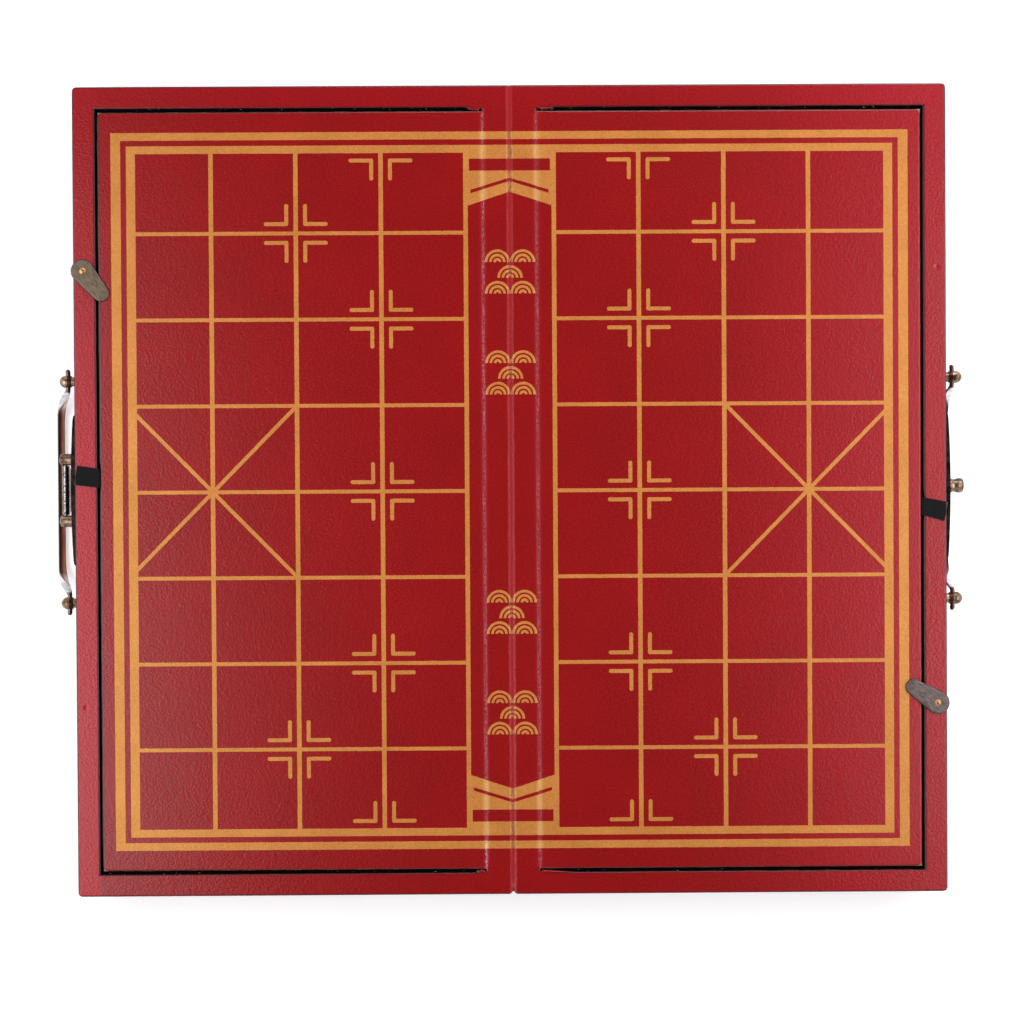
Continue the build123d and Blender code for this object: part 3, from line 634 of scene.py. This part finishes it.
def spine_leather():
    """The strip over the spine."""
    xs = ruler(-SEAM_X, SEAM_X, 1.6, (0.0, 2.25, 0.25))
    ys = ruler(-END_Y, END_Y, GRID_STEP, (END_Y, 1.0, 0.14), (-END_Y, 1.0, 0.14))

    def place(x, y):
        notch = NOTCH_DEPTH_NEAR if y < 0 else NOTCH_DEPTH_FAR
        inward = notch * max(0.0, 1 - abs(x) / NOTCH_REACH) ** 1.4
        end = END_Y - inward
        if abs(y) > END_Y - 1.2:
            y = (1 if y > 0 else -1) * (abs(y) - inward * (abs(y) - END_Y + 1.2) / 1.2)
        return x, y, surface(x, y) - round_off(end - abs(y), SKIN)

    def end_dark(x, y, z):
        if abs(y) < END_Y - 2.2:
            return 0.0
        return max(edge_dark(END_Y - abs(y)), 0.75 * smooth_step(0.3, 0.8, TOP - z))

    attributes = (("shade", end_dark), ("tone", painted_light_red))
    piece = grid_sheet("spine_leather", xs, ys, lambda x, y: True, place, attributes)
    bend_over_fold(piece)
    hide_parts("left_rim_leather", "right_rim_leather")


def lid_leather(side):
    """The leather of a lid, from the spine strip over the crease to the slit."""
    way = SIDES[side]
    edges = [(LID_END_X, 0.8, 0.1), (LID_END_X, 3.0, 0.5)]
    xs = ruler(SEAM_X, LID_END_X, GRID_STEP, (CREASE_X, 1.5, 0.25), *edges)
    ends = [(end * LID_END_Y, reach, step) for end in (-1, 1) for reach, step in ((0.8, 0.1), (3.0, 0.5))]
    ys = ruler(-LID_END_Y, LID_END_Y, GRID_STEP, *ends)

    def place(x, y):
        in_x, in_y = LID_END_X - x, LID_END_Y - abs(y)
        past = smooth_step(CREASE_X, CREASE_X + 2.0, x)
        drop = max(round_off(in_x, LID_EDGE_RADIUS), past * round_off(in_y, LID_EDGE_RADIUS))
        ragged_x = EDGE_WANDER * wave(way * 9.0, y, 2.6, 1.0) + (overhang(side, y) if way < 0 else 0.0)
        ragged_x *= 1 - smooth_step(0.0, 2.0, in_x)
        ragged_y = EDGE_WANDER * wave(x, way * 9.0, 2.6, 4.0) * (1 - smooth_step(0.0, 2.0, in_y)) * past
        height = surface(way * x, y) - drop
        x, y = round_corner(x, y, LID_END_X, LID_END_Y, LID_CORNER_RADIUS)
        return way * (x + ragged_x), y + ragged_y, height

    # Brown backing at the cut edges; at the outer x edge only on the left lid, which faces the left lamp:
    # partly painted light.
    def cut_edge(x, y, z):
        inward = LID_END_Y - abs(y)
        if x < 0:
            inward = min(inward, 0.75 * (LID_END_X - abs(x)))
        return 0.95 * (1 - smooth_step(0.15, 0.7, inward)) * smooth_step(CREASE_X, CREASE_X + 3, abs(x))

    attributes = (("cut", cut_edge), ("tone", painted_light_red))
    piece = grid_sheet(f"{side}_lid_leather_sheet", xs, ys, lambda x, y: True, place, attributes)
    bend_at_lid(piece)
    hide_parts(f"{side}_lid_leather")


def rim_leather(side):
    """The leather on the three rims round a lid, turned down over both edges."""
    way = SIDES[side]
    dents = [(abs(x), 1.5, 0.3) for x, y in DENTS]
    edges = [(SIDE_X, 0.9, 0.12), (WELL_END_X, 1.4, 0.14), (CREASE_X, 0.6, 0.2), (15.5, 3.5, 0.35)]
    xs = ruler(SEAM_X, SIDE_X, GRID_STEP, (SIDE_X, 2.4, 0.4), *edges, *dents)
    ends = [(end * END_Y, reach, step) for end in (-1, 1) for reach, step in ((0.9, 0.12), (2.4, 0.4))]
    ends += [(end * WELL_END_Y, 1.4, 0.14) for end in (-1, 1)]
    ends += [(end * LID_END_Y, 0.1, 0.1) for end in (-1, 1)]
    ends += [(y, 1.5, 0.3) for x, y in DENTS]
    ys = ruler(-END_Y, END_Y, GRID_STEP, *ends)

    def keep(x, y):
        if x < CREASE_X:
            return abs(y) > LID_END_Y
        return x > WELL_END_X or abs(y) > WELL_END_Y

    def place(x, y):
        outer = min(SIDE_X - x, END_Y - abs(y))
        in_x, in_y = x - WELL_END_X, abs(y) - WELL_END_Y
        inner = max(in_x, in_y) if x > CREASE_X else SKIN
        past = smooth_step(CREASE_X, CREASE_X + 2.0, x)
        drop = round_off(outer, SKIN) + past * round_off(max(0.0, inner), SLIT_EDGE_RADIUS)
        height = surface(way * x, y) - drop
        near_slit_y = (1 - smooth_step(0.0, 2.2, in_y)) * (x > CREASE_X) * (in_y > -0.01)
        near_slit_x = (1 - smooth_step(0.0, 2.2, in_x)) * (in_x > -0.01) * (in_y < -0.01)
        closing = slit_closed(way * x, y) * (WELL_END_Y - LID_END_Y - SLIT_GAP_LEFT)
        shift_y = near_slit_y * (closing * past + EDGE_WANDER * past * wave(x, y, 2.2, 7.0 * way))
        shift_x = near_slit_x * EDGE_WANDER * wave(x, y, 2.2, 8.0 * way)
        shift_x -= near_slit_x * (overhang(side, y) if way > 0 else 0.2)
        x, y = round_corner(x, y, SIDE_X, END_Y, CORNER_RADIUS)
        return way * (x + shift_x), y - (1 if y > 0 else -1) * shift_y, height

    def edge_shade(x, y, z):
        outer = min(SIDE_X - abs(x), END_Y - abs(y))
        inner = max(abs(x) - WELL_END_X, abs(y) - WELL_END_Y)
        dark = edge_dark(outer)
        if x > 0 and abs(y) < WELL_END_Y:
            return dark + 0.6 * (smooth_step(0.1, 0.4, inner) - smooth_step(0.4, 0.78, inner))
        if abs(x) > CREASE_X + 0.5:
            open_slit = 1 - 0.8 * smooth_step(0.1, 0.8, slit_closed(x, y))
            dark += 0.85 * (1 - smooth_step(0.1, 0.9, inner)) * open_slit
        return min(0.95, dark)

    def lit_cut(x, y, z):
        """The cut edge of the rim that faces left shows the leather's brown backing, painted only on this
        side, which the left lamp lights: partly painted light.
        """
        inner = x - WELL_END_X
        if inner < -SLIT_OVERHANG - 0.5 or abs(y) > WELL_END_Y:
            return 0.0
        return 0.92 * (1 - smooth_step(0.1, 0.4, inner))

    attributes = (("shade", edge_shade), ("tone", painted_light_red), ("cut", lit_cut))
    piece = grid_sheet(f"{side}_rim_leather_sheet", xs, ys, keep, place, attributes)
    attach(piece, f"{side}_case")
    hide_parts(f"{side}_rim_leather")


def wall_leather(side):
    """The leather round a tray's four walls and under it."""
    way = SIDES[side]
    middle_x, half_x = (SPINE_X + SIDE_X) / 2, (SIDE_X - SPINE_X) / 2
    corners = []
    for quarter, (sign_x, sign_y) in enumerate(((1, 1), (-1, 1), (-1, -1), (1, -1))):
        for step in range(7):
            angle = radians(90 * quarter + 15 * step)
            centre = (sign_x * (half_x - CORNER_RADIUS), sign_y * (END_Y - CORNER_RADIUS))
            corners.append((centre, (cos(angle), sin(angle))))
    outline = []
    for k, (centre, out) in enumerate(corners):
        next_centre = corners[(k + 1) % len(corners)][0]
        length = sqrt((next_centre[0] - centre[0]) ** 2 + (next_centre[1] - centre[1]) ** 2)
        steps = max(1, int(length / 6))
        for m in range(steps):
            point = tuple(a + (b - a) * m / steps for a, b in zip(centre, next_centre))
            outline.append((point, out))
    levels = [(WALL_TOP, 0.0)] + [(WALL_TOP - 1.0 - (WALL_TOP - 2.5) * k / 7, 0.0) for k in range(8)]
    for angle in (0, 25, 50, 70, 90):
        levels.append((WALL_FOOT * (1 - sin(radians(angle))), WALL_FOOT * (1 - cos(radians(angle)))))
    bm = bmesh.new()
    rings = []
    for z, inset in levels:
        ring = []
        for (cx, cy), (ox, oy) in outline:
            x, y = middle_x + cx + ox * (CORNER_RADIUS - inset), cy + oy * (CORNER_RADIUS - inset)
            dip = WAVE_HEIGHT * (0.5 + 0.5 * wave(x + y, z, 17.0, 9.0)) * min(1.0, (WALL_TOP - z) / 3)
            ring.append(bm.verts.new((way * (x - ox * dip), y - oy * dip, z)))
        rings.append(ring)
    bridge(bm, rings)
    bm.faces.new(rings[-1])
    attributes = (
        ("shade", lambda x, y, z: 0.35 * (1 - smooth_step(0.0, 1.2, z))),
        # The same painted lighter red, evenly up the walls.
        ("tone", lambda x, y, z: WALL_PAINTED_LIGHT),
    )
    piece = new_piece(f"{side}_wall_leather", bm, LEATHER, attributes)
    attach(piece, f"{side}_case")
    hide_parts(f"{side}_side_leather", f"{side}_bottom_leather")


# ---- the printed board ----


def printed_faces():
    """The upper faces of the CAD print as one bmesh, closed over the gaps at the creases."""
    bm = bmesh.new()
    for side in SIDES:
        for part in ("river_print", "lid_print"):
            bm.from_mesh(NODES[f"{side}_{part}"].data)
    bm.transform(Matrix.Scale(1 / MM, 4))
    bm.normal_update()
    lower = [f for f in bm.faces if f.normal.z < 0.9]
    bmesh.ops.delete(bm, geom=lower, context="FACES")
    for v in bm.verts:
        for line in (-CREASE_X, 0.0, CREASE_X):
            if abs(v.co.x - line) < PRINT_GAP:
                v.co.x = line
        v.co.z = 0.0
    bmesh.ops.remove_doubles(bm, verts=bm.verts, dist=0.004)
    return bm


def cut_along(bm, normal, places):
    for place in places:
        geometry = bm.verts[:] + bm.edges[:] + bm.faces[:]
        bmesh.ops.bisect_plane(bm, geom=geometry, dist=0.0005, plane_co=normal * place, plane_no=normal)


def roughen_outline(bm, step):
    """Divides the print's outline and lets it wander like paint on grain."""
    by_count = {}
    for edge in bm.edges:
        count = int(edge.calc_length() / step)
        if edge.is_boundary and count:
            by_count.setdefault(count, []).append(edge)
    for count, edges in by_count.items():
        bmesh.ops.subdivide_edges(bm, edges=edges, cuts=count)
    for v in bm.verts:
        if v.is_boundary:
            x, y = v.co.x, v.co.y
            for length, share in ((0.9, 1.0), (4.0, 0.6)):
                v.co.x += PRINT_ROUGHNESS * share * wave(x, y, length, 11.0)
                v.co.y += PRINT_ROUGHNESS * share * wave(x, y, length, 17.0)


def print_sheets():
    """The gold print on the spine strip and on both lids."""
    bm = printed_faces()
    fine = [k * 0.35 for k in range(-5, 6)]
    fine += [way * CREASE_X + k * 0.35 for way in (-1, 1) for k in range(-4, 5)]
    coarse = [k * 10.0 for k in range(-16, 17)]
    cut_along(bm, Vector((1, 0, 0)), fine + [-SEAM_X, SEAM_X] + [x for x in coarse if abs(x) > 2 * SEAM_X])
    cut_along(bm, Vector((0, 1, 0)), coarse[1:-1])
    roughen_outline(bm, 0.7)
    ranges = {"left": (-SIDE_X, -SEAM_X), "spine": (-SEAM_X, SEAM_X), "right": (SEAM_X, SIDE_X)}
    for place, (low, high) in ranges.items():
        part = bm.copy()
        outside = [f for f in part.faces if not low < f.calc_center_median().x < high]
        bmesh.ops.delete(part, geom=outside, context="FACES")
        part.normal_update()
        made = bmesh.ops.extrude_face_region(part, geom=part.faces[:], use_keep_orig=True)
        tops = {v for v in made["geom"] if isinstance(v, bmesh.types.BMVert)}
        for v in part.verts:
            v.co.z = surface(v.co.x, v.co.y) + (PRINT_LIFT if v in tops else -PRINT_SINK)
        piece = new_piece(f"{place}_gold_print", part, GOLD)
        if place == "spine":
            bend_over_fold(piece)
            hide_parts("left_river_print", "right_river_print")
        else:
            bend_at_lid(piece)
            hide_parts(f"{place}_lid_print")
    bm.free()


# ---- ribbons, frayed edges ----


def curve_through(points, steps):
    """Points on a smooth curve through the given ones."""
    line = []
    padded = [points[0]] + list(points) + [points[-1]]
    for a, b, c, d in zip(padded, padded[1:], padded[2:], padded[3:]):
        for k in range(steps):
            t = k / steps
            spot = []
            for p, q, r, s in zip(a, b, c, d):
                bend = (3 * q - p - 3 * r + s) * t + (2 * p - 5 * q + 4 * r - s)
                spot.append(q + 0.5 * t * (r - p + t * bend))
            line.append(tuple(spot))
    line.append(tuple(points[-1]))
    return line


def loft(bm, rings):
    """Closes rings of points into a tube with capped ends."""
    made = [[bm.verts.new(point) for point in ring] for ring in rings]
    bridge(bm, made)
    bm.faces.new(list(reversed(made[0])))
    bm.faces.new(made[-1])


def pull_ribbon(side):
    """A woven ribbon, glued under the lid, up through the slit and flat over the rim."""
    way = SIDES[side]
    root_low, root_high = RIBBON_ROOT_Y[side]
    end_low, end_high = RIBBON_END_Y[side]
    low_x, high_x = RIBBON_END_X[side]
    under, over = LID_BOTTOM - 0.25, TOP + 0.3
    rise = LID_END_X + 0.35
    route = [
        (LID_END_X - 6.0, under),
        (LID_END_X - 1.0, under),
        (rise, LID_BOTTOM + 1.0),
        (rise + 0.05, TOP - 0.7),
        (rise + 0.9, over),
        (rise + 3.5, over + 0.05),
        (rise + 7.0, over - 0.02),
        (low_x, over),
    ]
    route = curve_through(route, 6)
    columns = 12
    rings = []
    beyond = (2 * route[-1][0] - route[-2][0], route[-1][1])
    for (x, z), (ahead_x, ahead_z) in zip(route, route[1:] + [beyond]):
        long = sqrt((ahead_x - x) ** 2 + (ahead_z - z) ** 2)
        normal_x, normal_z = -(ahead_z - z) / long, (ahead_x - x) / long
        out = smooth_step(rise, low_x, x) if z > TOP - 0.7 else 0.0
        share = max(0.0, (x - rise) / (low_x - rise)) if z > TOP - 0.7 else 0.0
        low_y = root_low + (end_low - root_low) * share
        high_y = root_high + (end_high - root_high) * share
        upper, lower = [], []
        for k in range(columns + 1):
            across = k / columns
            thick = RIBBON_HALF * (1.25 if k in (0, columns) else 1.0)
            slant = (high_x - low_x) * across * out
            y = low_y + (high_y - low_y) * across + 0.07 * wave(x, across * 9, 1.5, 6.0)
            ripple = 0.06 * wave(x, y, 3.0, 12.0) * share
            upper.append((way * (x + slant + normal_x * thick), y, z + ripple + normal_z * thick))
            lower.append((way * (x + slant - normal_x * thick), y, z + ripple - normal_z * thick))
        rings.append(upper + lower[::-1])
    bm = bmesh.new()
    loft(bm, rings)

    def selvedge(x, y, z):
        return 0.7 * smooth_step(0.5, 0.1, SIDE_X - abs(x)) * (z > TOP)

    piece = new_piece(f"{side}_pull_ribbon", bm, RIBBON, (("edge", selvedge),))
    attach(piece, f"{side}_lid")
    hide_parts(f"{side}_lid_ribbon")


def slit_fray(side):
    """Short torn fibres where the slits were cut, thickest at the ends of the cuts."""
    way = SIDES[side]
    chance = Random(FRAY_SEED + way)
    tufts = {
        "left": ((11.6, 17.5, 1, 34), (12.0, 15.5, -1, 26), (20.0, 170.0, 1, 22), (20.0, 170.0, -1, 16)),
        "right": ((11.8, 18.5, 1, 44), (11.6, 13.5, -1, 10), (20.0, 170.0, 1, 20), (20.0, 170.0, -1, 14)),
    }
    bm = bmesh.new()
    for low_x, high_x, end, count in tufts[side]:
        for _ in range(count):
            x, y = chance.uniform(low_x, high_x), end * (WELL_END_Y - chance.uniform(-0.15, 1.0))
            z = TOP - chance.uniform(-0.02, 0.35)
            heading = chance.uniform(0, 2 * pi)
            length, radius = chance.uniform(0.35, 1.3), chance.uniform(0.05, 0.1)
            rings = []
            for k in range(5):
                thin = radius * (1 - 0.8 * k / 4)
                side_x, side_y = -sin(heading) * thin, cos(heading) * thin
                corners = ((side_x, side_y, 0), (0, 0, thin), (-side_x, -side_y, 0), (0, 0, -thin))
                rings.append([(way * (x + u), y + v, z + w) for u, v, w in corners])
                x += cos(heading) * length / 4
                y += sin(heading) * length / 4 * 0.5
                heading += chance.uniform(-0.7, 0.7)
            loft(bm, rings)
    piece = new_piece(f"{side}_slit_fray", bm, FRAY)
    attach(piece, f"{side}_case")


# ---- metal fittings ----


def turn_button(side):
    """A pear-shaped sheet bronze button with a soft bevel, pierced for its rivet."""
    way = SIDES[side]
    centre_x, centre_y = way * (SIDE_X - BUTTON_IN), BUTTON_Y[side]
    heading = BUTTON_HEADING[side]
    lean = acos((BUTTON_ROOT_RADIUS - BUTTON_TIP_RADIUS) / BUTTON_REACH)
    outline = [(BUTTON_ROOT_RADIUS, lean + (2 * pi - 2 * lean) * k / 40, 0.0) for k in range(41)]
    outline += [(BUTTON_TIP_RADIUS, -lean + 2 * lean * k / 24, BUTTON_REACH) for k in range(25)]
    low, high = span(f"{side}_turn_button", 2)
    # Each ring: share of the way from the hole to the outline, distance in from the outline, and height.
    profile = [(0.0, 0.0, low), (0.0, 0.0, high - 0.08)] + [(share, 0.0, high) for share in (0.04, 0.3, 0.6)]
    for inset, drop in ((0.75, 0.0), (0.5, 0.02), (0.3, 0.08), (0.12, 0.2), (0.0, 0.4), (0.02, high - low)):
        profile.append((1.0, inset, high - drop))

    def place(x, y, z):
        turned_x, turned_y = x * cos(heading) - y * sin(heading), x * sin(heading) + y * cos(heading)
        hammered = 0.03 * wave(x, y, 2.2, 21.0 + way) if high - z < 0.3 else 0.0
        return centre_x + turned_x, centre_y + turned_y, min(high, z + hammered - 0.03)

    bm = bmesh.new()
    rings = []
    for share, inset, z in profile:
        ring = []
        for radius, angle, along in outline:
            x, y = along + (radius - inset) * cos(angle), (radius - inset) * sin(angle)
            away = sqrt(x * x + y * y)
            hole_x, hole_y = BUTTON_HOLE * x / away, BUTTON_HOLE * y / away
            ring.append(bm.verts.new(place(hole_x + (x - hole_x) * share, hole_y + (y - hole_y) * share, z)))
        rings.append(ring)
    bridge(bm, rings + rings[:1])
    attributes = (
        ("edge", lambda x, y, z: 0.85 * smooth_step(high - 0.1, high - 0.3, z)),
        ("along", lambda x, y, z: (x - centre_x) * cos(heading) + (y - centre_y) * sin(heading)),
        ("across", lambda x, y, z: (y - centre_y) * cos(heading) - (x - centre_x) * sin(heading)),
    )
    piece = new_piece(f"{side}_button_plate", bm, SHEET_BRONZE[side], attributes)
    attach(piece, f"{side}_button")
    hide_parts(f"{side}_turn_button")


def bail_arris(along):
    """Where the arris runs along the bail's upper face, in millimetres outwards from its middle."""
    return -1.9 + 3.5 * smooth_step(42.4, 34.5, along)


def bail_handle(side):
    """The carrying bail: round pins with a blade between them, widest at the shoulders."""
    way = SIDES[side]
    tilt = radians(BAIL_TILT[side])
    along_drop = Vector((way * sin(tilt), 0, -cos(tilt)))
    outward = Vector((way * cos(tilt), 0, sin(tilt)))
    axis = Vector((way * (SIDE_X + BAIL_OUT), BAIL_Y, BAIL_Z))
    # Each station: distance along from the middle, drop, half width outwards, half depth, and how far
    # the section is a blade with an arris instead of round.
    stations = [
        (51.7, 1.4, 0.7, 0.5, 0.0),
        (51.3, 0.6, 1.0, 0.9, 0.0),
        (50.2, 0.0, 1.0, 1.0, 0.0),
        (47.0, 0.0, 1.0, 1.0, 0.0),
        (44.1, 0.0, 1.0, 1.0, 0.0),
        (42.7, 1.3, 1.1, 1.1, 0.3),
        (41.6, 4.6, 1.45, 1.1, 1.0),
        (40.2, 9.0, 1.75, 1.1, 1.0),
        (38.0, 13.4, 1.85, 1.1, 1.0),
        (34.6, 16.8, 1.75, 1.1, 1.0),
        (29.0, 18.0, 1.6, 1.15, 1.0),
        (16.0, 18.1, 1.6, 1.15, 1.0),
    ]
    mirrored = [(-s, *rest) for s, *rest in reversed(stations)]
    line = curve_through(stations + [(0.0, 18.1, 1.6, 1.15, 1.0)] + mirrored, 6)
    rings = []
    for k, (s, drop, across, deep, blade) in enumerate(line):
        before, after = line[max(0, k - 1)], line[min(len(line) - 1, k + 1)]
        step_s, step_d = after[0] - before[0], after[1] - before[1]
        long = sqrt(step_s**2 + step_d**2)
        upwards = (along_drop * step_s - Vector((0, step_d, 0))) / long
        centre = axis + Vector((0, s, 0)) + along_drop * drop
        arris = max(-0.9, min(0.9, bail_arris(abs(s)) / across))
        ring = []
        for m in range(24):
            angle = 2 * pi * m / 24
            u, v = cos(angle), sin(angle)
            if v > 0:
                slope = (1 - u) / (1 - arris) if u > arris else (1 + u) / (1 + arris)
                v += blade * (slope - v)
            ring.append(centre + outward * (across * u) + upwards * (deep * v))
        rings.append(ring)
    bm = bmesh.new()
    loft(bm, rings)

    def out_of_middle(x, y, z):
        return (Vector((x, y, z)) - axis).dot(outward)

    attributes = (
        ("out", out_of_middle),
        ("past_arris", lambda x, y, z: out_of_middle(x, y, z) - bail_arris(abs(y - BAIL_Y))),
        ("pin", lambda x, y, z: smooth_step(41.9, 42.7, abs(y - BAIL_Y))),
        ("grip", lambda x, y, z: smooth_step(37.0, 31.0, abs(y - BAIL_Y))),
    )
    piece = new_piece(f"{side}_bail_handle", bm, BAIL_BRONZE, attributes)
    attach(piece, f"{side}_bail")
    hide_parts(f"{side}_bail")


# ---- carried-over nodes ----


def dress_nodes():
    """Gives each CAD node that stays its real finish."""
    finishes = (
        (BOARD, ("base_panel", "outer_rail", "spine_rail", "far_rail", "near_rail", "lid_board")),
        (FLOCK, ("floor_lining", "wall_lining", "lid_ledge", "lid_lining")),
        (BRONZE, ("escutcheon_nails", "hasp_lugs", "latch_knob")),
        (WORN_STEEL, ("hasp_pin", "hasp_flap")),
        (POST_BRONZE, ("bail_posts",)),
        (BLACK_BRONZE, ("escutcheon",)),
        (BRASS, ("button_rivet",)),
    )
    finish_of = {part: finish for finish, parts in finishes for part in parts}
    for name, item in NODES.items():
        part = name.replace("right_", "").replace("left_", "")
        for material_slot in item.material_slots:
            if part in finish_of:
                material_slot.material = finish_of[part]


# ---- studio ----


def white_sweep():
    """A white table that curves up into a wall all round, seen as white and still shaded by the case."""
    bm = bmesh.new()
    angles = [2 * pi * k / SWEEP_STEPS for k in range(SWEEP_STEPS)]
    rings = []
    for radius, height in SWEEP:
        rings.append([bm.verts.new((radius * cos(a), radius * sin(a), height)) for a in angles])
    bridge(bm, rings)
    bm.faces.new(rings[0])
    bmesh.ops.recalc_face_normals(bm, faces=bm.faces)
    for face in bm.faces:
        face.smooth = True
    mesh = bpy.data.meshes.new("white_sweep")
    bm.to_mesh(mesh)
    bm.free()
    sweep = new_object("white_sweep", mesh)
    material, add = bare_material("white_paper")
    place = add("TexCoord").outputs["Object"]
    away = add("VectorMath", [place], operation="LENGTH").outputs["Value"]
    matt = add("BsdfDiffuse", {"Color": "#e8e8e8"})
    seen = add("LightPath")
    rays = [seen.outputs[f"Is {kind} Ray"] for kind in ("Camera", "Glossy", "Transmission")]
    first = add("Math", rays[:2], operation="MAXIMUM")
    seen_at_all = add("Math", [first, rays[2]], operation="MAXIMUM")
    lift = add("MapRange", [away, *FLOOR_LIFT_REACH, FLOOR_LIFT, 1.0])
    strength = add("Math", [seen_at_all, lift], operation="MULTIPLY")
    glow = add("Emission", {"Color": (1, 1, 1, 1), "Strength": strength})
    both = add("AddShader", [matt, glow])
    add("OutputMaterial", [both])
    mesh.materials.append(material)


def room_light():
    """A dim room: dark overhead, paler towards the horizon."""
    world = bpy.data.worlds.new("dim_room")
    bpy.context.scene.world = world
    world.use_nodes = True
    world.node_tree.nodes.clear()
    add = partial(node, world.node_tree)
    heading = add("TexCoord").outputs["Generated"]
    height = add("SeparateXYZ", [heading]).outputs["Z"]
    strength = add("MapRange", [height, 0.0, 1.0, *ROOM_LIGHT])
    room = add("Background", {"Color": (1, 1, 1, 1), "Strength": strength})
    add("OutputWorld", [room])


def studio():
    """Soft boxes left, right and behind, and a camera above the board."""
    scene = bpy.context.scene
    scene.view_settings.view_transform = "Standard"
    white_sweep()
    room_light()
    for name, place, power in SOFTBOXES:
        light = bpy.data.lights.new(name, "AREA")
        light.shape = "RECTANGLE"
        light.size, light.size_y = SOFTBOX_SIZE
        light.energy = power
        light.color = SOFTBOX_COLOUR
        lamp = new_object(name, light)
        lamp.location = place
        lamp.rotation_euler = (-Vector(place)).to_track_quat("-Z", "Y").to_euler()
        lamp.visible_camera = False

    lens = bpy.data.cameras.new("camera")
    lens.lens = LENS
    lens.sensor_width = SENSOR_WIDTH
    camera = new_object("camera", lens)
    camera.location = CAMERA_PLACE
    camera.rotation_euler = [radians(angle) for angle in CAMERA_TURN]
    scene.camera = camera


studio()
spine_leather()
for tray in SIDES:
    lid_leather(tray)
    rim_leather(tray)
    wall_leather(tray)
    pull_ribbon(tray)
    slit_fray(tray)
    turn_button(tray)
    bail_handle(tray)
print_sheets()
dress_nodes()
